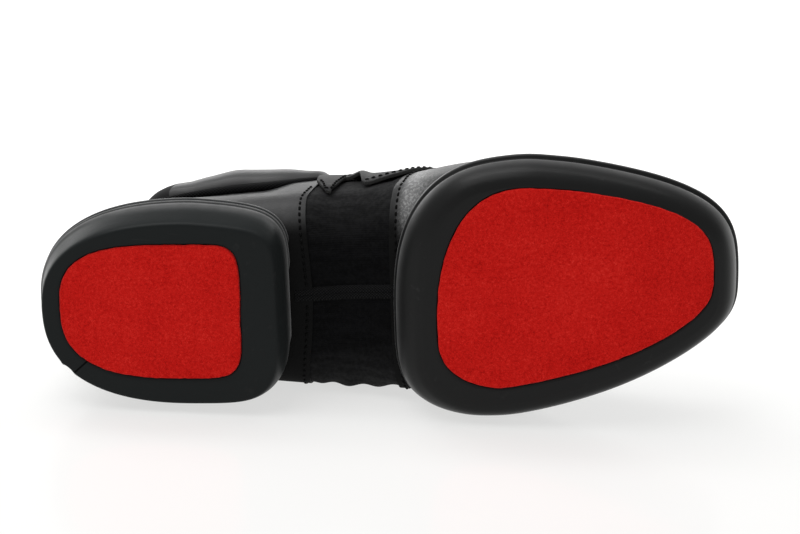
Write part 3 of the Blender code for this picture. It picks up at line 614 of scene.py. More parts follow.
TAPE_HALF, TAPE_OUT, TAPE_WALL, TAPE_REAR, TAPE_FRONT = 2.2, 1.6, 0.8, 97.8, 137.5
TAPE_GROOVE, TAPE_GROOVE_HALF, TAPE_EDGE_DROP, TAPE_RIPPLE, TAPE_RIPPLE_STEP = 0.5, 0.16, 0.7, 0.06, 2.1
x, across = every_pair(np.linspace(TAPE_REAR, TAPE_FRONT, 120), np.linspace(-1.0, 1.0, 25))
tape_height = TAPE_OUT - TAPE_EDGE_DROP * np.abs(across) ** 8
tape_height -= TAPE_GROOVE * bell(across, 0.0, TAPE_GROOVE_HALF)
tape_height += TAPE_RIPPLE * np.sin(x * TAPE_RIPPLE_STEP) * (1.0 - across**2)
tape_points = last_point(x, 1.0, -90.0)
tape_points = tape_points + np.stack([0.0 * x, across * TAPE_HALF, -tape_height], axis=-1)
tape_cloth = cloth_finish("tape_cloth", (0.002, 0.002, 0.0022), (0.014, 0.014, 0.0145), 0.85, 1.2)
seam_tape = new_piece("seam_tape", [tape_points[::-1]], [tape_cloth])
thicken(seam_tape, TAPE_WALL)


# Vamp: the front of the upper, the same black leather in one piece over the toes. Its rear edge
# is turned and stitched over the stretch panels, and its lasted edge goes under the forefoot sole.
VAMP_LEATHER = leather_finish(
    "vamp_leather", (0.027, 0.027, 0.0275), (0.041, 0.041, 0.0415), 0.50, coat=0.16, scuffs=1.0)
# Rear edge, from the floor's centre to the ridge: share of the way up, and x
VAMP_EDGE = np.array([
    (0.0, 136.0), (0.2, 136.2), (0.4, 137.2), (0.52, 138.4), (0.60, 140.5),
    (0.66, 144.0), (0.72, 149.0), (0.80, 154.0), (0.90, 158.0), (1.0, 160.0),
])
VAMP_ROWS, VAMP_COLUMNS, TOE_STEPPING = 150, 70, 2.2
CREASE_X, CREASE_SPREAD, CREASE_HEIGHT, CREASE_STEP, CREASE_SLANT = 184.0, 15.0, 0.35, 2.6, 0.12
CREASE_FROM_ANGLE, CREASE_TURN, CREASE_FADE = 5.0, 40.0, 8.0
SCUFF_FROM, SCUFF_RISE, SCUFF_TO, SCUFF_FADE = 2.6, 3.0, 10.0, 6.0
SCUFF_TURN = (-70.0, 30.0, 40.0, 30.0)


def vamp_place(side, along, up, ahead=0.0):
    """Place on the last of a vamp point: along from the rear edge to the toe, up from floor to throat."""
    rear = smooth(up, VAMP_EDGE[:, 0], VAMP_EDGE[:, 1]) + ahead
    x = rear + (TOE_X - rear) * (1.0 - (1.0 - along) ** TOE_STEPPING)
    low = floor_angle(x)
    return x, side, low + (opening_angle(x, side) - low) * up


def vamp_side(side):
    """One side of the vamp, with shallow walking creases across the ball of the foot.

    The inner side is scuffed in a strip between its rear edge and the sole.
    """
    along, up = every_pair(np.linspace(0.0, 1.0, VAMP_ROWS), np.linspace(0.0, 1.0, VAMP_COLUMNS))
    x, _, angle = vamp_place(side, along, up)
    crease = np.sin((x + CREASE_SLANT * angle) / CREASE_STEP) * bell(x, CREASE_X, CREASE_SPREAD)
    crease *= ease((angle - CREASE_FROM_ANGLE) / CREASE_TURN) * ease(along * CREASE_FADE)
    points = skin(x, side, angle, LEATHER_OUT + CREASE_HEIGHT * crease)
    ahead = x - smooth(up, VAMP_EDGE[:, 0], VAMP_EDGE[:, 1])
    strip = ease((ahead - SCUFF_FROM) / SCUFF_RISE)
    strip *= np.exp(-np.maximum(ahead - SCUFF_TO, 0.0) / SCUFF_FADE)
    scuffed = (side < 0) * strip * window(angle, *SCUFF_TURN)
    order = slice(None, None, 1 if side > 0 else -1)
    return points[order], scuffed[order], lasted(x, side, angle)[order]


sides = [vamp_side(1.0), vamp_side(-1.0)]
vamp = new_piece(
    "vamp", [s[0] for s in sides], [VAMP_LEATHER, LINING_CLOTH, raw_edge],
    scuffed=[s[1] for s in sides], lasted=[s[2] for s in sides])
thicken(vamp, LEATHER_WALL, CUT_EDGE, lined=True)
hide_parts("upper")


# Eyestay: a leather facing round the throat with short tabs down each side, laid over quarter,
# stretch panels and vamp and stitched along its edge. The lace holes are punched through it; each
# is drawn as a near-black disc of painted shade inside its eyelet.
EYESTAY_LEATHER = leather_finish(
    "eyestay_leather", (0.014, 0.014, 0.0144), (0.030, 0.030, 0.030), 0.60, coat=0.05)
EYESTAY_OUT, EYESTAY_WALL, EYESTAY_ROUND, COLLAR_CLEAR_ANGLE = 3.9, 1.3, 0.35, 2.5
EYESTAY_START_X, EYESTAY_LAST_X, EYESTAY_END_X = 104.0, 180.5, 182.0
HEM_DROP, HEM_ANGLE = 0.35, 3.0
TAB_CURL, TAB_CURL_X, TAB_CURL_SPREAD = 1.4, 121.5, 3.0
# Lower edge with its tabs: x and height
EYESTAY_EDGE = np.array([
    (EYESTAY_START_X, 55.0), (106.0, 49.0), (108.8, 40.0), (110.8, 39.4), (112.4, 46.0),
    (115.2, 59.5), (TAB_CURL_X, 60.5), (124.2, 46.0), (125.4, 43.8), (127.0, 43.6),
    (132.0, 45.0), (140.0, 47.0), (147.0, 52.0), (154.0, 57.0), (159.0, 55.0),
])


def eyestay_angles(x, side):
    """Angles of the eyestay's lower edge, with its tabs, and of its upper edge at throat or collar."""
    low = angle_at_height(x, side, np.interp(x, EYESTAY_EDGE[:, 0], EYESTAY_EDGE[:, 1]))
    end = round_end((x - THROAT_END_X) / (EYESTAY_END_X - THROAT_END_X), 2.0)
    beside_collar = np.clip((COLLAR_END_X - x) / (COLLAR_END_X - COLLAR_FRONT_X), 0.0, 1.0)
    return 90.0 - (90.0 - low) * end, opening_angle(x, side) - COLLAR_CLEAR_ANGLE * beside_collar


def eyestay_side(side):
    """One side of the eyestay: stations at each corner of its edge and between them."""
    between = np.linspace(EYESTAY_START_X, EYESTAY_LAST_X, 150)
    stations = np.unique(np.concatenate([EYESTAY_EDGE[:, 0], between, [THROAT_END_X]]))
    x, up = every_pair(stations, np.linspace(0.0, 1.0, 40))
    low, high = eyestay_angles(x, side)
    angle = low + (high - low) * up
    hem = HEM_DROP * bell(up * (high - low), 0.0, HEM_ANGLE)
    curl = TAB_CURL * bell(x, TAB_CURL_X, TAB_CURL_SPREAD)
    points = skin(x, side, angle, EYESTAY_OUT - hem + curl)
    return points[:: 1 if side > 0 else -1]


eyestay = new_piece("eyestay", [eyestay_side(1.0), eyestay_side(-1.0)], [EYESTAY_LEATHER, raw_edge])
thicken(eyestay, EYESTAY_WALL, EYESTAY_ROUND)
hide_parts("eyestay")


# Collar: a padded leather roll round the ankle opening, foam in a leather cover that is sewn to
# the quarter's top edge. The back of the heel is covered in the lining's dark cloth instead.
COLLAR_GAP, COLLAR_COLUMNS, COLLAR_ROUND = 2.6, 110, 44
COLLAR_LEATHER = leather_finish(
    "collar_leather", (0.052, 0.052, 0.0525), (0.070, 0.070, 0.0705), 0.48, coat=0.25)
COLLAR_TRIM, COLLAR_SQUARE, COLLAR_CROWN = 0.6, 0.6, 0.88
COLLAR_TAPER, COLLAR_TAPER_SHARE = 0.03, 0.35
FRONT_PLUMP, FRONT_PLUMP_X, FRONT_PLUMP_SPREAD = 1.8, 105.0, 6.0
BACK_THIN, BACK_THIN_X, BACK_THIN_RUN = 0.6, 4.0, 20.0
PUCKER, PUCKER_STEP, PUCKER_BEAT = 0.035, 5.3, 8.1
HEEL_CLOTH_X, HEEL_CLOTH_SLANT, CLOTH_INSIDE, CLOTH_SEAM = 43.0, 8.0, -0.35, 0.3
# How far the padding leans in from its seam on the inner side: x and distance. On the outer side
# the floor presses it in instead.
COLLAR_LEAN = np.array([
    (2.5, 4.0), (15.0, 4.6), (30.0, 4.4), (37.0, 1.2), (44.0, 0.0), (51.0, 0.6),
    (58.0, 0.3), (66.0, 0.1), (78.0, 1.3), (95.0, 2.4), (112.0, 0.7),
])
along = np.linspace(-1.0, 1.0, 2 * COLLAR_COLUMNS + 1)
collar_x = HEEL_X + (COLLAR_FRONT_X + 1.0 - HEEL_X) * np.abs(along) ** 2.0
collar_side = np.where(along < 0, -1.0, 1.0)


def collar_frame(x, side):
    """Foot of the collar on the quarter's edge, and its up and out directions there."""
    angle = angle_at_height(x, side, seam_size("height", x))
    foot = last_point(x, side, angle)
    up = unit(last_point(x, side, angle + 1.0) - foot)
    return foot, up, unit(np.cross(up, np.gradient(foot, axis=0)))


def squared(wave, power):
    """A wave with its sign kept and its size raised to a power: below 1 it turns towards a square."""
    return np.sign(wave) * np.abs(wave) ** power


def turns(steps):
    """Angles once round a closed section, its end not repeated."""
    return np.linspace(0.0, 2.0 * np.pi, steps, endpoint=False)


def carried(path, first, along_first, second, along_second):
    """A section carried along a path: distances along two directions at each of its points."""
    return (
        path[:, None]
        + first[:, None] * np.asarray(along_first)[..., None]
        + second[:, None] * np.asarray(along_second)[..., None]
    )


foot, up, out = collar_frame(collar_x, collar_side)
turn = turns(COLLAR_ROUND)
front_taper = round_end((np.abs(along) - 1.0 + COLLAR_TAPER) / COLLAR_TAPER, 2.0)
half_height = seam_size("half_height", collar_x) - COLLAR_TRIM
half_height = half_height * (COLLAR_TAPER_SHARE + (1.0 - COLLAR_TAPER_SHARE) * front_taper)
half_thick = seam_size("half_thick", collar_x)
half_thick = half_thick + FRONT_PLUMP * bell(collar_x, FRONT_PLUMP_X, FRONT_PLUMP_SPREAD)
half_thick *= BACK_THIN + (1.0 - BACK_THIN) * ease((collar_x - BACK_THIN_X) / BACK_THIN_RUN)
half_thick *= front_taper
half_thick *= 1.0 + PUCKER * np.sin(collar_x / PUCKER_STEP + collar_side) * np.sin(collar_x / PUCKER_BEAT)
across = squared(np.cos(turn), COLLAR_SQUARE)
raised = squared(np.sin(turn), COLLAR_CROWN)
free_lean = smooth(collar_x, COLLAR_LEAN[:, 0], COLLAR_LEAN[:, 1])
lean = np.where(along < 0, free_lean, seam_size("stand_off", collar_x))
middle = foot + up * (half_height + COLLAR_GAP)[:, None] - out * lean[:, None]
rings = carried(middle, out, half_thick[:, None] * across, up, half_height[:, None] * raised)
behind_cloth = collar_x[:, None] - HEEL_CLOTH_X - HEEL_CLOTH_SLANT * (raised + 1.0) / 2.0
outside = np.where(across < CLOTH_INSIDE, -HEEL_CLOTH_SLANT, HEEL_CLOTH_SLANT)
leather_mm = np.minimum(behind_cloth, outside)
tree = COLLAR_LEATHER.node_tree
place = Signal(tree, tree.nodes["Texture Coordinate"].outputs["Object"])
leather_share = place.attribute("leather_mm").ramp(-CLOTH_SEAM, CLOTH_SEAM)
heel_cloth = place.node(
    "ShaderNodeBsdfPrincipled", {}, {"Base Color": (0.007, 0.007, 0.0075, 1.0), "Roughness": 0.92})
leather = Signal(tree, tree.nodes["Principled BSDF"].outputs[0])
covered = place.node("ShaderNodeMixShader", {}, {0: leather_share, 1: heel_cloth, 2: leather})
tree.links.new(covered.socket, tree.nodes["Material Output"].inputs["Surface"])
collar = new_piece("collar", [rings], [COLLAR_LEATHER], closed=True, turn=True, leather_mm=[leather_mm])
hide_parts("collar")

# The seam between collar and quarter is bound with a woven band, flatter round the heel
BAND_HALF_HEIGHT, BAND_HALF_THICK, BAND_SQUARE, BAND_ROUND = 3.2, 1.7, 0.7, 20
BAND_FULL_SPAN, BAND_HEEL_HEIGHT, BAND_HEEL_THICK = (26.0, 46.0, 112.0, 10.0), 0.9, 0.4
BAND_HEEL_OUT, BAND_FULL_OUT = 0.2, 1.5
band_cloth = cloth_finish("band_cloth", (0.0015, 0.0015, 0.0017), (0.016, 0.016, 0.0165), 0.95, 1.5)
turn = turns(BAND_ROUND)
band_full = window(collar_x, *BAND_FULL_SPAN)[:, None]
band_up = (BAND_HEEL_HEIGHT + (1.0 - BAND_HEEL_HEIGHT) * band_full) * squared(np.sin(turn), BAND_SQUARE)
band_out = (BAND_HEEL_THICK + (1.0 - BAND_HEEL_THICK) * band_full) * squared(np.cos(turn), BAND_SQUARE)
band_path = foot + out * (BAND_HEEL_OUT + (BAND_FULL_OUT - BAND_HEEL_OUT) * band_full)
band_points = carried(band_path, up, BAND_HALF_HEIGHT * band_up, out, BAND_HALF_THICK * band_out)
collar_band = new_piece("collar_band", [band_points], [band_cloth], closed=True, turn=True)


# Tongue: a padded cloth-covered flap under the lace, sewn to the vamp at the throat's end and
# loose along its sides. Its top stands a little out of the throat.
TONGUE_GAP, TONGUE_PAD = 0.9, 3.4
TONGUE_TOP_X, TONGUE_LOW_X, TONGUE_CORNER, TONGUE_SHOULDER = 95.0, 180.0, 7.0, 6.0
TONGUE_NECK_HALF, TONGUE_TOP_HALF, TONGUE_HALF, TONGUE_UNDERLAP = 15.5, 22.0, 24.0, 8.0
TONGUE_SLOPE = np.radians(50.0)
TONGUE_EDGE_PAD, TONGUE_PAD_RUN, QUILT_DEPTH, QUILT_STEP = 0.35, 5.0, 0.25, 3.1
TONGUE_CLOTH = cloth_finish("tongue_cloth", (0.008, 0.008, 0.009), (0.020, 0.020, 0.021), 0.85, 1.1)


def capped(rings):
    """Rings of a closed form with both ends drawn together to a point, the mean of each end ring."""
    ends = [np.broadcast_to(ring.mean(axis=0), ring[None].shape) for ring in (rings[0], rings[-1])]
    return np.concatenate([ends[0], rings, ends[1]])


corner_stations = TONGUE_TOP_X + TONGUE_CORNER * np.linspace(0.0, 1.0, 14) ** 1.8
straight_stations = np.linspace(TONGUE_TOP_X + TONGUE_CORNER + 0.5, TONGUE_LOW_X, 90)
x, across = every_pair(np.concatenate([corner_stations, straight_stations]), np.linspace(-1.0, 1.0, 41))
tongue_side = np.where(across < 0, -1.0, 1.0)
on_last = np.maximum(x, COLLAR_END_X)
under = ease((x - COLLAR_END_X) / TONGUE_SHOULDER)
above = ease((COLLAR_FRONT_X - x) / TONGUE_SHOULDER)
wide = np.minimum(throat_half(x) + TONGUE_UNDERLAP, TONGUE_HALF)
half = TONGUE_NECK_HALF + (wide - TONGUE_NECK_HALF) * under + (TONGUE_TOP_HALF - TONGUE_NECK_HALF) * above
half -= TONGUE_CORNER * (1.0 - round_end((TONGUE_TOP_X + TONGUE_CORNER - x) / TONGUE_CORNER, 2.0))
tongue_angle = angle_at_side(on_last, tongue_side, half * np.abs(across))
led_back = np.maximum(COLLAR_END_X - x, 0.0)[..., None] * np.array([-1.0, 0.0, np.tan(TONGUE_SLOPE)])
plump = (1.0 - np.abs(across) ** 4) * ease((x - TONGUE_TOP_X) / TONGUE_PAD_RUN)
pad = TONGUE_PAD * (TONGUE_EDGE_PAD + (1.0 - TONGUE_EDGE_PAD) * plump)
quilt = QUILT_DEPTH * np.sin(x / QUILT_STEP) * (1.0 - across**2)
face = skin(on_last, tongue_side, tongue_angle, np.full(x.shape, -TONGUE_GAP)) + led_back
underside = skin(on_last, tongue_side, tongue_angle, -TONGUE_GAP - pad + quilt) + led_back
tongue_rings = capped(np.concatenate([face, underside[:, ::-1]], axis=1))
tongue = new_piece("tongue", [tongue_rings], [TONGUE_CLOTH], closed=True, turn=True)
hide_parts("tongue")


# Insole: a thin foam sock with a cloth face that lies on the floor of the upper from heel to toe.
# It is cut to the last's floor and cemented down under the foot.
INSOLE_GAP, INSOLE_FOAM, INSOLE_EDGE_ANGLE = 0.9, 3.0, -48.0
INSOLE_REAR_X, INSOLE_LENGTH = 9.0, 250.0
INSOLE_CLOTH = cloth_finish("insole_cloth", (0.009, 0.009, 0.010), (0.022, 0.022, 0.023), 0.92, 1.0)
insole_x = INSOLE_REAR_X + INSOLE_LENGTH * ease(np.linspace(0.0, 1.0, 130))
x, across = every_pair(insole_x, np.linspace(-1.0, 1.0, 41))
insole_side = np.where(across < 0, -1.0, 1.0)
insole_angle = -90.0 + (INSOLE_EDGE_ANGLE + 90.0) * np.abs(across)
insole_low = skin(x, insole_side, insole_angle, np.full(x.shape, -INSOLE_GAP))
insole_top = skin(x, insole_side, insole_angle, np.full(x.shape, -INSOLE_GAP - INSOLE_FOAM))
insole_rings = capped(np.concatenate([insole_low, insole_top[:, ::-1]], axis=1))
insole = new_piece("insole", [insole_rings], [INSOLE_CLOTH], closed=True, turn=True)
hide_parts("insole")


# Sole units: two blocks of black moulded rubber, a heel and a forefoot, cemented to the lasted
# upper. Their walls carry moulded ribs, and each tread has a shallow bed for a suede patch.
# Outlines as four quarter curves: pivot x, reach, half width, roundness, width lost evenly on the way
HEEL_AXIS = ((0.0, 0.0), (94.0, 0.0))
HEEL_OUTLINE = {
    "lateral_rear": (60.0, 60.0, 38.8, 2.4, 0.0), "lateral_front": (60.0, 34.0, 38.8, 4.0, 0.0),
    "medial_front": (60.0, 34.0, 37.4, 7.0, 0.12), "medial_rear": (60.0, 60.0, 37.4, 2.45, 0.0),
}
FORE_AXIS = ((138.0, 9.3), (268.0, 0.35))
FORE_OUTLINE = {
    "lateral_rear": (180.0, 42.0, 38.4, 3.5, 0.09), "lateral_front": (180.0, 88.0, 38.4, 2.3, 0.38),
    "medial_front": (190.0, 78.0, 61.8, 4.5, 0.343), "medial_rear": (190.0, 52.0, 61.8, 2.95, 0.0),
}
HEEL_SUEDE_AXIS = ((8.6, 0.0), (79.0, 0.0))
HEEL_SUEDE_OUTLINE = {
    "lateral_rear": (55.0, 46.4, 26.7, 2.6, 0.0), "lateral_front": (55.0, 23.6, 26.7, 5.5, 0.0),
    "medial_front": (55.0, 24.2, 27.6, 6.5, 0.0), "medial_rear": (55.0, 46.4, 27.6, 3.2, 0.0),
}
FORE_SUEDE_AXIS = ((154.5, 6.3), (259.5, -6.6))
FORE_SUEDE_OUTLINE = {
    "lateral_rear": (178.0, 23.5, 27.9, 3.8, 0.32), "lateral_front": (178.0, 81.5, 27.9, 2.0, 0.13),
    "medial_front": (188.0, 71.5, 50.9, 4.6, 0.4), "medial_rear": (188.0, 33.5, 50.9, 2.2, -0.1),
}
# Wall profiles from the tread up: height, distance out from the outline, and the same at the arch
HEEL_WALL = np.array([
    (0.5, -2.4, -2.6), (0.6, -1.8, -1.9), (1.1, -1.3, -1.3), (2.4, -0.8, -0.6), (5.0, -0.2, 0.2),
    (9.0, 0.6, 1.2), (14.4, 1.6, 1.7), (15.6, 2.8, 2.4), (16.4, 2.4, 2.1), (16.9, 1.6, 1.2),
    (17.3, 1.9, 1.5), (17.9, 3.0, 2.6), (18.7, 2.9, 2.5), (19.1, 2.1, 1.7), (19.5, 2.3, 1.9),
    (20.2, 3.2, 2.8), (21.3, 3.2, 2.8), (22.2, 2.2, 2.0), (22.2, 0.0, 0.6), (21.6, -2.0, -0.4),
    (16.0, -2.2, -0.6),
])
FORE_WALL = np.array([
    (0.5, -6.5, -11.0), (1.2, -3.8, -8.0), (2.8, -1.8, -5.8), (5.2, -0.4, -3.0), (8.0, 0.6, -1.2),
    (11.0, 1.4, 0.0), (11.8, 0.8, 0.0), (12.6, 1.0, 0.3), (13.2, 2.4, 0.8), (14.8, 2.6, 1.2),
    (15.6, 1.8, 1.0), (15.6, -0.6, -0.4), (15.0, -3.2, -2.0), (9.0, -3.4, -2.2),
])
HEEL_RIBS, FORE_RIBS, RIB_HALF = (15.3, 18.2, 20.8), (10.9, 14.4), 0.6
# Painted highlight: a paler band down the wall below the lowest rib, its strength and reach
WALL_PAINTED_HIGHLIGHT, WALL_HIGHLIGHT_RUN = 0.5, 3.0
# How far ribs may stand out on the outer side, which lies on the floor, and more on the inner side
FLOOR_SIDE_OUT, FREE_SIDE_MORE, FLOOR_SIDE_Y, FLOOR_SIDE_RUN = 1.6, 6.0, -5.0, 25.0
OUTLINE_STEPS, KINK_PASSES, BED_DEPTH, BED_GAP, BED_LIP = 64, 12, 1.2, 0.3, 0.15


def run_lengths(path):
    """Distance of each point of a path from its start, along the path."""
    return np.cumsum(np.linalg.norm(np.diff(path, axis=0, prepend=path[:1]), axis=1))


def even(flat):
    """The same closed outline with points at even distances along it and its kinks averaged out."""
    loop = np.concatenate([flat, flat[:1]])
    length = run_lengths(loop)
    at = np.linspace(0.0, length[-1], len(flat), endpoint=False)
    flat = np.stack([np.interp(at, length, loop[:, k]) for k in (0, 1)], axis=1)
    for _ in range(KINK_PASSES):
        flat = flat * 0.5 + np.roll(flat, 1, axis=0) * 0.25 + np.roll(flat, -1, axis=0) * 0.25
    return flat


def outline(table, axis):
    """Closed outline of four quarter superellipses round a slanted axis, from its rear end.

    Each quarter also loses its taper's share of width on the way from its pivot to its end.
    """
    (rear_x, rear_y), (front_x, front_y) = axis
    turn = np.linspace(0.0, np.pi / 2, OUTLINE_STEPS, endpoint=False)
    quarters = (
        ("medial_rear", -1.0, -1.0, turn), ("medial_front", 1.0, -1.0, np.pi / 2 - turn),
        ("lateral_front", 1.0, 1.0, turn), ("lateral_rear", -1.0, 1.0, np.pi / 2 - turn),
    )
    points = []
    for name, ahead, side, angle in quarters:
        pivot, reach, half, roundness, taper = table[name]
        along = np.cos(angle) ** (2 / roundness)
        across = np.sin(angle) ** (2 / roundness) * (1.0 - taper * along**TAPER_POWER)
        x = pivot + ahead * reach * along
        y = rear_y + (front_y - rear_y) * (x - rear_x) / (front_x - rear_x)
        points.append(np.stack([x, y + side * half * across], axis=1))
    return even(np.concatenate(points))


def pushed_out(flat, distance):
    """A closed outline moved out along its own normals."""
    tangent = np.roll(flat, -1, axis=0) - np.roll(flat, 1, axis=0)
    normal = unit(np.stack([tangent[:, 1], -tangent[:, 0]], axis=1))
    return flat + normal * np.broadcast_to(distance, len(flat))[:, None]


def lifted(flat, height):
    """A flat outline at a height above the tread, toe spring included."""
    return np.column_stack([flat, tread_rise(flat[:, 0]) + height])


def cut_corners(rows, times):
    """A profile with its corners cut at a quarter and three quarters of each step, so it rounds over."""
    for _ in range(times):
        near = rows[:-1] * 0.75 + rows[1:] * 0.25
        far = rows[:-1] * 0.25 + rows[1:] * 0.75
        inner = np.stack([near, far], axis=1).reshape(-1, rows.shape[1])
        rows = np.concatenate([rows[:1], inner, rows[-1:]])
    return rows


def sole_rings(flat, axis, wall, arch_end, bed, ribs):
    """Rings of a sole unit from the middle of its bed over the tread, wall and rim to its seat.

    The ribs are flatter on the outer side, which the floor presses.  Also gives each ring's painted
    highlight: 1 at the heights of the ribs, and less down the wall below them.
    """
    (rear_x, _), (front_x, _) = axis
    share = (flat[:, 0] - rear_x) / (front_x - rear_x)
    near_arch = ease((share if arch_end == "front" else 1.0 - share) * 4.0 - 3.0)
    wall = cut_corners(wall, 2)
    edge = pushed_out(flat, wall[0, 1] + (wall[0, 2] - wall[0, 1]) * near_arch)
    bed_edge = pushed_out(bed, BED_GAP)
    middle = bed.mean(axis=0)
    tread = wall[0, 0]
    rings = [lifted(middle + (bed_edge - middle) * s, tread + BED_DEPTH) for s in (0.0, 0.5, 0.97, 1.0)]
    rings.append(lifted(bed_edge, tread + BED_LIP))
    rings += [lifted(bed_edge + (edge - bed_edge) * s, tread) for s in (0.03, 0.25, 0.5, 0.75)]
    # Painted highlight along the ribs, and a paler band below the lowest
    paler = WALL_PAINTED_HIGHLIGHT * bell(wall[:, 0], ribs[0], WALL_HIGHLIGHT_RUN) * (wall[:, 0] < ribs[0])
    rubbed = bell(wall[:, :1], np.array(ribs), RIB_HALF).max(axis=1) * (wall[:, 1] > 0.5)
    rubbed = np.concatenate([np.zeros(len(rings)), np.maximum(rubbed, paler), np.zeros(2)])
    free_side = 1.0 - ease((flat[:, 1] - FLOOR_SIDE_Y) / FLOOR_SIDE_RUN)
    widest_out = FLOOR_SIDE_OUT + FREE_SIDE_MORE * free_side
    for height, out, out_arch in wall:
        distance = np.minimum(out + (out_arch - out) * near_arch, widest_out)
        rings.append(lifted(pushed_out(flat, distance), height))
    seat = rings[-1]
    rings += [seat.mean(axis=0) + (seat - seat.mean(axis=0)) * s for s in (0.5, 0.0)]
    return np.stack(rings), np.broadcast_to(rubbed[:, None], (len(rings), len(flat)))


# The rubber strip round the heel is closed by a butt joint at the outer rear, one end trimmed short
JOINT_AT, JOINT_ACROSS, JOINT_REACH = np.array([11.0, 25.2]), np.array([0.655, 0.756]), 12.0
JOINT_LIP, JOINT_LIP_AT, JOINT_LIP_SPREAD = 0.3, -5.4, 1.2
JOINT_TRIM, JOINT_TRIM_AT, JOINT_TRIM_SPREAD = 0.5, -2.4, 2.2


def joint_places(points):
    """For each point, 1 near the strip's joint falling to 0 away from it, and how far past it."""
    offset = points[..., :2] - JOINT_AT
    return 1.0 - ease(np.linalg.norm(offset, axis=-1) / JOINT_REACH * 2.0 - 1.0), offset @ JOINT_ACROSS


# Dust is its own grey; the paler grey is a painted highlight on the ribs
DUST_GREY, PAINTED_HIGHLIGHT_GREY = (0.04, 0.04, 0.04, 1.0), (0.17, 0.17, 0.17, 1.0)
JOINT_BLACK = (0.001, 0.001, 0.001, 1.0)


def rubber_finish(name, colour, specular):
    """Moulded rubber: a fine matt skin with cloudy gloss, dust, hair scratches, the strip's joint and
    painted rib highlights.
    """
    material, place = new_finish(name, Specular_IOR_Level=specular)
    cloudy = place.noise(30.0, 4.0)
    speck = place.noise(1500.0, 2.0)
    dust = place.noise(260.0, 5.0).ramp(0.60, 0.80) * cloudy.ramp(0.45, 0.65)
    scratch = place.stretched(30.0, 900.0, 500.0).noise(1.0, 2.0).ramp(0.70, 0.76)
    joint = 1.0 - abs(place.attribute("joint_mm")).ramp(0.2, 0.5)
    joint = joint * place.attribute("joint_near").ramp(0.3, 0.6)
    # Painted highlight: paler grey along the ribs, where light catches them
    rubbed = place.attribute("rubbed") * (0.55 + place.noise(160.0, 4.0) * 0.8)
    dusty = (dust * 0.5 + scratch * 0.15).blend((*colour, 1.0), DUST_GREY)
    finish(
        material,
        Base_Color=joint.blend(rubbed.blend(dusty, PAINTED_HIGHLIGHT_GREY), JOINT_BLACK),
        Roughness=0.27 + cloudy * 0.14 + dust * 0.15,
        Normal=place.bump(speck - joint * 4.0, 0.00005, 0.6, place.bump(cloudy, 0.0010, 0.15)),
    )
    return material


heel_rubber = rubber_finish("heel_rubber", (0.0160, 0.0180, 0.0182), 0.04)
fore_rubber = rubber_finish("forefoot_rubber", (0.0130, 0.0132, 0.0132), 0.10)
heel_bed = outline(HEEL_SUEDE_OUTLINE, HEEL_SUEDE_AXIS)
fore_bed = outline(FORE_SUEDE_OUTLINE, FORE_SUEDE_AXIS)
heel_flat = outline(HEEL_OUTLINE, HEEL_AXIS)
heel_near, heel_past = joint_places(heel_flat)
lip = JOINT_LIP * bell(heel_past, JOINT_LIP_AT, JOINT_LIP_SPREAD)
trim = JOINT_TRIM * np.exp(-(((heel_past - JOINT_TRIM_AT) / JOINT_TRIM_SPREAD) ** 4))
heel_flat = pushed_out(heel_flat, heel_near * (lip - trim))
heel_rings, heel_highlight = sole_rings(heel_flat, HEEL_AXIS, HEEL_WALL, "front", heel_bed, HEEL_RIBS)
heel_near, heel_past = joint_places(heel_rings)
heel_sole = new_piece(
    "heel_sole_rubber", [heel_rings], [heel_rubber], closed=True, turn=True,
    joint_near=[heel_near], joint_mm=[heel_past], rubbed=[heel_highlight])
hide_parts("heel_sole")
fore_flat = outline(FORE_OUTLINE, FORE_AXIS)
fore_rings, fore_highlight = sole_rings(fore_flat, FORE_AXIS, FORE_WALL, "rear", fore_bed, FORE_RIBS)
fore_sole = new_piece(
    "forefoot_sole_rubber", [fore_rings], [fore_rubber], closed=True, turn=True, rubbed=[fore_highlight])
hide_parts("forefoot_sole")


# Tread patches: red chrome-tanned suede split, die-cut and cemented into the beds of the soles,
# nap outwards. The cut edge is a little frayed and stands just proud of the rubber.
SUEDE_EDGE, SUEDE_FRAY, SUEDE_RINGS = 1.4, 0.10, 40
SUEDE_ROLL, SUEDE_ROLL_RISE, SUEDE_ROLL_DEPTH = -0.25, 0.04, 0.3
red_suede, place = new_finish(
    "red_suede", Specular_IOR_Level=0.05, Sheen_Weight=0.04, Sheen_Roughness=0.5)
nap = place.noise(900.0, 5.0, 0.7)
brushed = place.noise(42.0, 4.0, 0.6)
pile = place.noise(2600.0, 3.0, 0.7)
grain = nap * 0.42 + pile * 0.52 + brushed * 0.16
finish(
    red_suede,
    Base_Color=grain.node("ShaderNodeValToRGB", {"stops": (
        (0.40, (0.34, 0.003, 0.002, 1.0)), (0.50, (0.56, 0.007, 0.005, 1.0)),
        (0.60, (0.69, 0.014, 0.010, 1.0)), (0.70, (0.80, 0.040, 0.028, 1.0)))}, {0: grain}),
    Roughness=0.86 + pile * 0.1,
    Normal=place.bump(nap + pile * 0.7, 0.0005, 0.7),
)


def suede_rings(flat, seed):
    """Rings of a patch from its middle to its frayed edge, then down its cut side."""
    chance = np.random.default_rng(seed)
    fray = np.convolve(np.tile(chance.normal(0.0, SUEDE_FRAY, len(flat)), 3), (0.25, 0.5, 0.25), "same")
    edge = pushed_out(flat, fray[len(flat):2 * len(flat)])
    middle = edge.mean(axis=0)
    scales = 1.0 - (1.0 - np.linspace(0.0, 1.0, SUEDE_RINGS)) ** 1.4
    rings = [lifted(middle + (edge - middle) * s, 0.0) for s in scales[:-1]]
    rings.append(lifted(pushed_out(edge, SUEDE_ROLL), SUEDE_ROLL_RISE))
    rings.append(lifted(edge, SUEDE_ROLL_DEPTH))
    rings.append(lifted(edge, SUEDE_EDGE))
    rings.append(lifted(np.broadcast_to(middle, edge.shape), SUEDE_EDGE))
    return np.stack(rings)


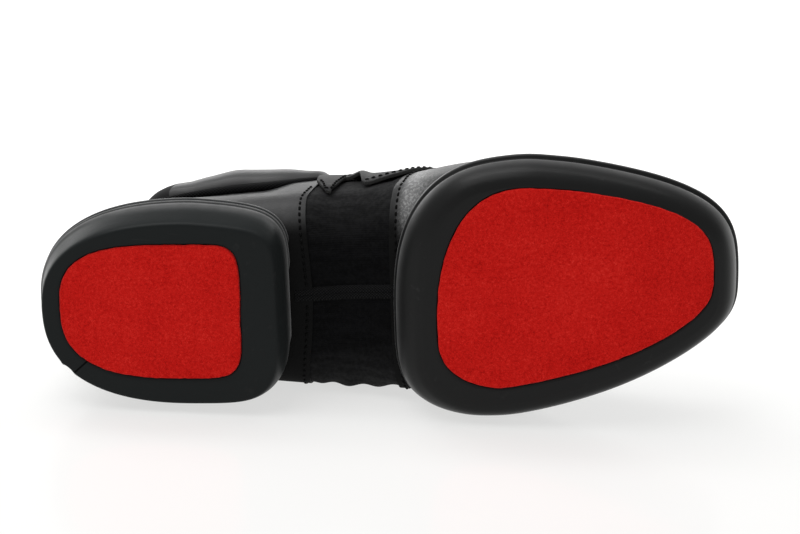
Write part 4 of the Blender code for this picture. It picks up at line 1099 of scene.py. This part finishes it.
heel_patch = new_piece(
    "heel_suede_patch", [suede_rings(heel_bed, 4)], [red_suede], closed=True, turn=True)
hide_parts("heel_suede")
fore_patch = new_piece(
    "forefoot_suede_patch", [suede_rings(fore_bed, 9)], [red_suede], closed=True, turn=True)
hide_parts("forefoot_suede")


# Stitching: black bonded thread, lockstitched through the leather beside each cut edge. Each
# stitch is a short rounded bar that lies in the leather and dips at its ends.
STITCH_PITCH, STITCH_LENGTH, STITCH_RADIUS, STITCH_RISE, STITCH_DIP = 2.8, 2.2, 0.52, 0.05, 0.3
ROW_POINTS, QUARTER_INSET, VAMP_INSET, EYESTAY_INSET_ANGLE, TAPE_INSET = 200, 2.2, 2.6, 3.5, 1.6
thread, place = new_finish("black_thread", Specular_IOR_Level=0.08, Roughness=0.7)
strand = place.noise(2600.0, 2.0)
finish(thread, Base_Color=strand.blend((0.0008, 0.0008, 0.0008, 1.0), (0.004, 0.004, 0.004, 1.0)))


def stitch_row(path, normals):
    """Bars at even pitch along a path on a surface: each a spindle that dips at both ends."""
    length = run_lengths(path)
    at = np.arange(STITCH_PITCH / 2, length[-1], STITCH_PITCH)
    here, ahead, out = (
        np.stack([np.interp(s, length, column) for column in rows.T], axis=1)
        for s, rows in ((at, path), (at + 0.2, path), (at, normals))
    )
    run = unit(ahead - here)
    across = np.cross(out, run)
    t, turn = every_pair(np.linspace(-1.0, 1.0, 7), turns(6))
    girth = STITCH_RADIUS * np.sqrt(np.maximum(1.0 - t**4, 0.0))
    lift = STITCH_RISE - STITCH_DIP * t**2 + girth * np.cos(turn)
    return (
        here[:, None, None]
        + run[:, None, None] * (t * STITCH_LENGTH / 2)[..., None]
        + out[:, None, None] * lift[..., None]
        + across[:, None, None] * (girth * np.sin(turn))[..., None]
    )


def row_on(x, side, angle, out):
    """Stitches along a line of places on the last."""
    x, side, angle = same_shape(x, side, angle)
    return stitch_row(skin(x, side, angle, np.full(x.shape, out)), last_normal(x, side, angle))


stitches = []
line = np.linspace(0.0, 1.0, ROW_POINTS)
quarter_up, vamp_up = 0.02 + 0.83 * line, 0.02 + 0.80 * line
edge_x = 105.6 + 53.0 * line
tape_x = TAPE_REAR + 0.8 + (TAPE_FRONT - TAPE_REAR - 1.6) * line
for side, sunk in ((1.0, 0.5), (-1.0, 0.1)):
    front_edge = quarter_place(np.full(ROW_POINTS, side), quarter_up, QUARTER_INSET)
    rear_edge = vamp_place(side, np.zeros(ROW_POINTS), vamp_up, VAMP_INSET)
    low, _ = eyestay_angles(edge_x, side)
    stitches.append(row_on(*front_edge, LEATHER_OUT))
    stitches.append(row_on(*rear_edge, LEATHER_OUT))
    stitches.append(row_on(edge_x, side, low + EYESTAY_INSET_ANGLE, EYESTAY_OUT - sunk))
for shift in (-TAPE_INSET, TAPE_INSET):
    path = last_point(tape_x, 1.0, -90.0) + np.array([0.0, shift, -TAPE_OUT])
    stitches.append(stitch_row(path, np.broadcast_to((0.0, 0.0, -1.0), path.shape)))
stitching = new_piece("stitching", stitches, [thread], closed=True, turn=True)


# Lace: one flat woven cotton cord. A bar joins the lowest holes, then the two ends cross up the
# throat, over the eyestay's edge and down through the next pair of holes.
EYELET_ROWS, FIRST_EYELET_X, LAST_EYELET_X, EYELET_SPREAD, EYELET_INSET = 4, 164.0, 116.0, 2.7, 7.0
LACE_WIDTH, LACE_THICK, LACE_GAP, LACE_CLEAR = 4.6, 1.3, 0.55, 2.0
LACE_BAR_SAG, LACE_OVER_SAG, LACE_UNDER_SAG = 1.2, 0.1, 2.0
LACE_DIVE, LACE_DIVE_RUN, LACE_PINCH, LACE_PINCH_RUN = 3.4, 0.14, 0.35, 0.18
PLAIT_PITCH, PLAIT_SLANT = 1.3, 2.4
lace_cord, place = new_finish("lace_cord", Specular_IOR_Level=0.3)
along_run = place.attribute("run_mm") * (2.0 * np.pi / PLAIT_PITCH)
over_width = place.attribute("across_mm") * PLAIT_SLANT
plait = (along_run + over_width).sine() * (along_run - over_width).sine()
finish(
    lace_cord,
    Base_Color=plait.ramp(-0.7, 0.8).blend((0.004, 0.004, 0.0045, 1.0), (0.020, 0.020, 0.021, 1.0)),
    Roughness=0.8 + plait * 0.05,
    Normal=place.bump(plait, 0.0003, 0.8),
)


def lace_run(start_x, start_side, end_x, sag):
    """A flat cord between two holes: over the eyestay, sagging in the throat, ends turned down."""
    share = np.linspace(-1.0, 1.0, 61)
    x = start_x + (end_x - start_x) * (share + 1.0) / 2
    side = np.where(share * start_side < 0, 1.0, -1.0)
    reach = throat_half(x) + EYELET_INSET
    angle = angle_at_side(x, side, np.abs(share) * reach)
    out = last_normal(x, side, angle)
    height = EYESTAY_OUT + LACE_GAP + LACE_THICK / 2
    sink = sag * np.clip(1.0 - (np.abs(share) * reach / (throat_half(x) - LACE_CLEAR)) ** 2, 0.0, 1.0)
    to_end = 1.0 - np.abs(share)
    dive = LACE_DIVE * ease(1.0 - to_end / LACE_DIVE_RUN)
    path = last_point(x, side, angle) + out * (height - sink - dive)[:, None]
    across = unit(np.cross(np.gradient(path, axis=0), out))
    turn = turns(18)
    flat = squared(np.cos(turn), 0.5) * LACE_WIDTH / 2
    thick = squared(np.sin(turn), 0.8) * LACE_THICK / 2
    narrow = 1.0 - LACE_PINCH * ease(1.0 - to_end / LACE_PINCH_RUN)
    rings = capped(carried(path, across, narrow[:, None] * flat, out, np.tile(thick, (len(path), 1))))
    length = run_lengths(path)
    length = np.concatenate([length[:1], length, length[-1:]])[:, None]
    return rings, np.broadcast_to(length, rings.shape[:2]), np.broadcast_to(flat, rings.shape[:2])


eyelet_x = np.linspace(FIRST_EYELET_X, LAST_EYELET_X, EYELET_ROWS)
bar_x = eyelet_x[0] + EYELET_SPREAD
runs = [lace_run(bar_x, 1.0, bar_x, LACE_BAR_SAG)]
for low_x, high_x in zip(eyelet_x - EYELET_SPREAD, eyelet_x[1:] + EYELET_SPREAD):
    runs.append(lace_run(low_x, 1.0, high_x, LACE_OVER_SAG))
    runs.append(lace_run(low_x, -1.0, high_x, LACE_UNDER_SAG))
lace = new_piece(
    "lace", [r[0] for r in runs], [lace_cord], closed=True, turn=True,
    run_mm=[r[1] for r in runs], across_mm=[r[2] for r in runs])
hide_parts("lace_bar", "lace_cross_1", "lace_cross_2", "lace_cross_3")


# Eyelets: oval rings of blackened brass, pressed through the eyestay from the front and rolled
# over behind it. Each takes the lace's end from the row below and the start of the next crossing.
EYELET_LONG, EYELET_SHORT, EYELET_ROLL, SHADE_DISC_INSET, SHADE_DISC_RISE = 5.6, 3.1, 0.55, 0.2, 0.08
black_brass, place = new_finish("blackened_brass", Metallic=0.6, Specular_IOR_Level=0.4)
finish(
    black_brass,
    Base_Color=place.noise(300.0, 3.0).blend((0.010, 0.010, 0.010, 1.0), (0.030, 0.028, 0.026, 1.0)),
    Roughness=0.32 + place.noise(900.0, 2.0) * 0.2,
)
# Painted shade: a near-black disc laid just over the eyestay inside each ring stands in for the shaded
# inside of the hole.
hole_shade_finish, place = new_finish("painted_hole_shade", Specular_IOR_Level=0.05, Roughness=0.9)
finish(
    hole_shade_finish,
    Base_Color=place.noise(500.0).blend((0.001, 0.001, 0.001, 1.0), (0.003, 0.003, 0.003, 1.0)),
)
row_x, row_side = (grid.ravel() for grid in np.meshgrid(eyelet_x, (-1.0, 1.0)))
row_angle = angle_at_side(row_x, row_side, throat_half(row_x) + EYELET_INSET)
eyelet_out = last_normal(row_x, row_side, row_angle)
eyelet_along = unit(np.cross(eyelet_out, np.cross(np.array([1.0, 0.0, 0.0]), eyelet_out)))
eyelet_across = np.cross(eyelet_out, eyelet_along)
eyelet_middle = skin(row_x, row_side, row_angle, np.full(row_x.shape, EYESTAY_OUT))


def eyelet_rings(spread, height):
    """Ovals round every eyelet, moved out by spread and up by height: grids of rings by points."""
    turn = turns(28)
    along = (EYELET_LONG + spread)[:, None] * np.cos(turn)
    across = (EYELET_SHORT + spread)[:, None] * np.sin(turn)
    return (
        eyelet_middle[:, None, None]
        + eyelet_along[:, None, None] * along[..., None]
        + eyelet_across[:, None, None] * across[..., None]
        + eyelet_out[:, None, None] * np.broadcast_to(height[:, None], along.shape)[..., None]
    )


roll = np.linspace(0.0, 2.0 * np.pi, 9)
eyelets = new_piece(
    "eyelets", [eyelet_rings(EYELET_ROLL * np.cos(roll), EYELET_ROLL * np.sin(roll))], [black_brass],
    closed=True, turn=True)
# The discs of painted shade, one inside each eyelet
hole_shade_rings = eyelet_rings(np.array([-SHADE_DISC_INSET, -EYELET_SHORT]), np.full(2, SHADE_DISC_RISE))
painted_hole_shades = new_piece("painted_hole_shades", [hole_shade_rings], [hole_shade_finish], closed=True)


# Studio: a table of pale glossy acrylic that glows from below and curves up behind the shoe, one
# large soft light overhead, a low one behind that lights the upper edges, and one on the backdrop.
SWEEP_HALF, SWEEP_FRONT, SWEEP_BACK, SWEEP_RADIUS, SWEEP_TOP = 2.2, -1.6, 0.75, 0.6, 0.62
acrylic, place = new_finish(
    "table_acrylic", Specular_IOR_Level=0.25, Roughness=0.16,
    Emission_Color=(1.0, 1.0, 0.992, 1.0), Emission_Strength=0.64)
finish(
    acrylic,
    Base_Color=place.noise(6.0, 2.0).blend((0.305, 0.305, 0.30, 1.0), (0.325, 0.325, 0.32, 1.0)),
)
bend = np.linspace(0.0, np.pi / 2, 24)
sweep_y = SWEEP_BACK + SWEEP_RADIUS * np.concatenate([np.sin(bend), [1.0]])
sweep_y = np.concatenate([[SWEEP_FRONT], sweep_y])
sweep_z = np.concatenate([[0.0], SWEEP_RADIUS * (1.0 - np.cos(bend)), [SWEEP_TOP]])
sweep_x = np.array([-SWEEP_HALF, SWEEP_HALF])
corners = np.stack(np.broadcast_arrays(sweep_x[:, None], sweep_y, sweep_z), axis=-1).reshape(-1, 3)
sweep_mesh = bpy.data.meshes.new("sweep")
sweep_mesh.from_pydata(corners.tolist(), [], grid_faces(2, len(sweep_y), False)[:, ::-1].tolist())
sweep_mesh.shade_smooth()
sweep_mesh.materials.append(acrylic)
sweep = bpy.data.objects.new("sweep", sweep_mesh)
bpy.context.scene.collection.objects.link(sweep)


def softbox(name, place, aim, size, power):
    """A rectangular area light at a place, turned towards a point."""
    lamp = bpy.data.lights.new(name, "AREA")
    lamp.shape = "RECTANGLE"
    lamp.size, lamp.size_y = size
    lamp.energy = power
    light = bpy.data.objects.new(name, lamp)
    light.location = place
    light.rotation_euler = (Vector(aim) - Vector(place)).to_track_quat("-Z", "Y").to_euler()
    bpy.context.scene.collection.objects.link(light)


softbox("overhead", (-0.45, 0.02, 1.25), (0.0, 0.0, 0.05), (1.5, 0.9), 12.5)
softbox("rim_light", (-0.1, 1.05, 0.27), (0.0, 0.0, 0.08), (1.8, 0.3), 4.0)
softbox("backdrop_light", (0.0, 0.45, 1.5), (0.0, 1.2, 0.4), (2.2, 0.4), 12.0)
world = bpy.data.worlds.new("studio")
world.use_nodes = True
background = world.node_tree.nodes["Background"]
background.inputs["Color"].default_value = (1.0, 1.0, 1.0, 1.0)
background.inputs["Strength"].default_value = 0.4
bpy.context.scene.world = world
bpy.context.scene.view_settings.view_transform = "Standard"


# Camera: low in front of the treads, a little towards the toe, with a long lens.
CAMERA_AIM = np.array([141.0, -18.35, 0.0])
CAMERA_AWAY, CAMERA_LENS = 750.0, 89.1
CAMERA_RISE, CAMERA_TURN = np.radians(22.0), np.radians(4.0)
PHOTO_TILT, PHOTO_SWING = np.radians(4.0), np.radians(2.0)
right = np.array([np.cos(PHOTO_SWING), np.sin(PHOTO_SWING), 0.0])
inner_side = np.array([np.sin(PHOTO_SWING), -np.cos(PHOTO_SWING), 0.0])
up = np.cos(PHOTO_TILT) * inner_side - np.sin(PHOTO_TILT) * np.array([0.0, 0.0, 1.0])
away = np.cross(up, right)
towards = np.sin(CAMERA_TURN) * right - np.cos(CAMERA_TURN) * away
back = np.cos(CAMERA_RISE) * towards + np.sin(CAMERA_RISE) * up
level = unit(np.cross(-back, up))
upright = np.cross(level, -back)
turned = np.stack([lay(axis) - lay(np.zeros(3)) for axis in (level, upright, back)], axis=1) * 1000.0
lens = bpy.data.cameras.new("camera")
lens.lens, lens.sensor_width = CAMERA_LENS, 36.0
camera = bpy.data.objects.new("camera", lens)
stand = Matrix.Translation(lay(CAMERA_AIM + back * CAMERA_AWAY))
camera.matrix_world = stand @ Matrix(turned.tolist()).to_4x4()
bpy.context.scene.collection.objects.link(camera)
bpy.context.scene.camera = camera
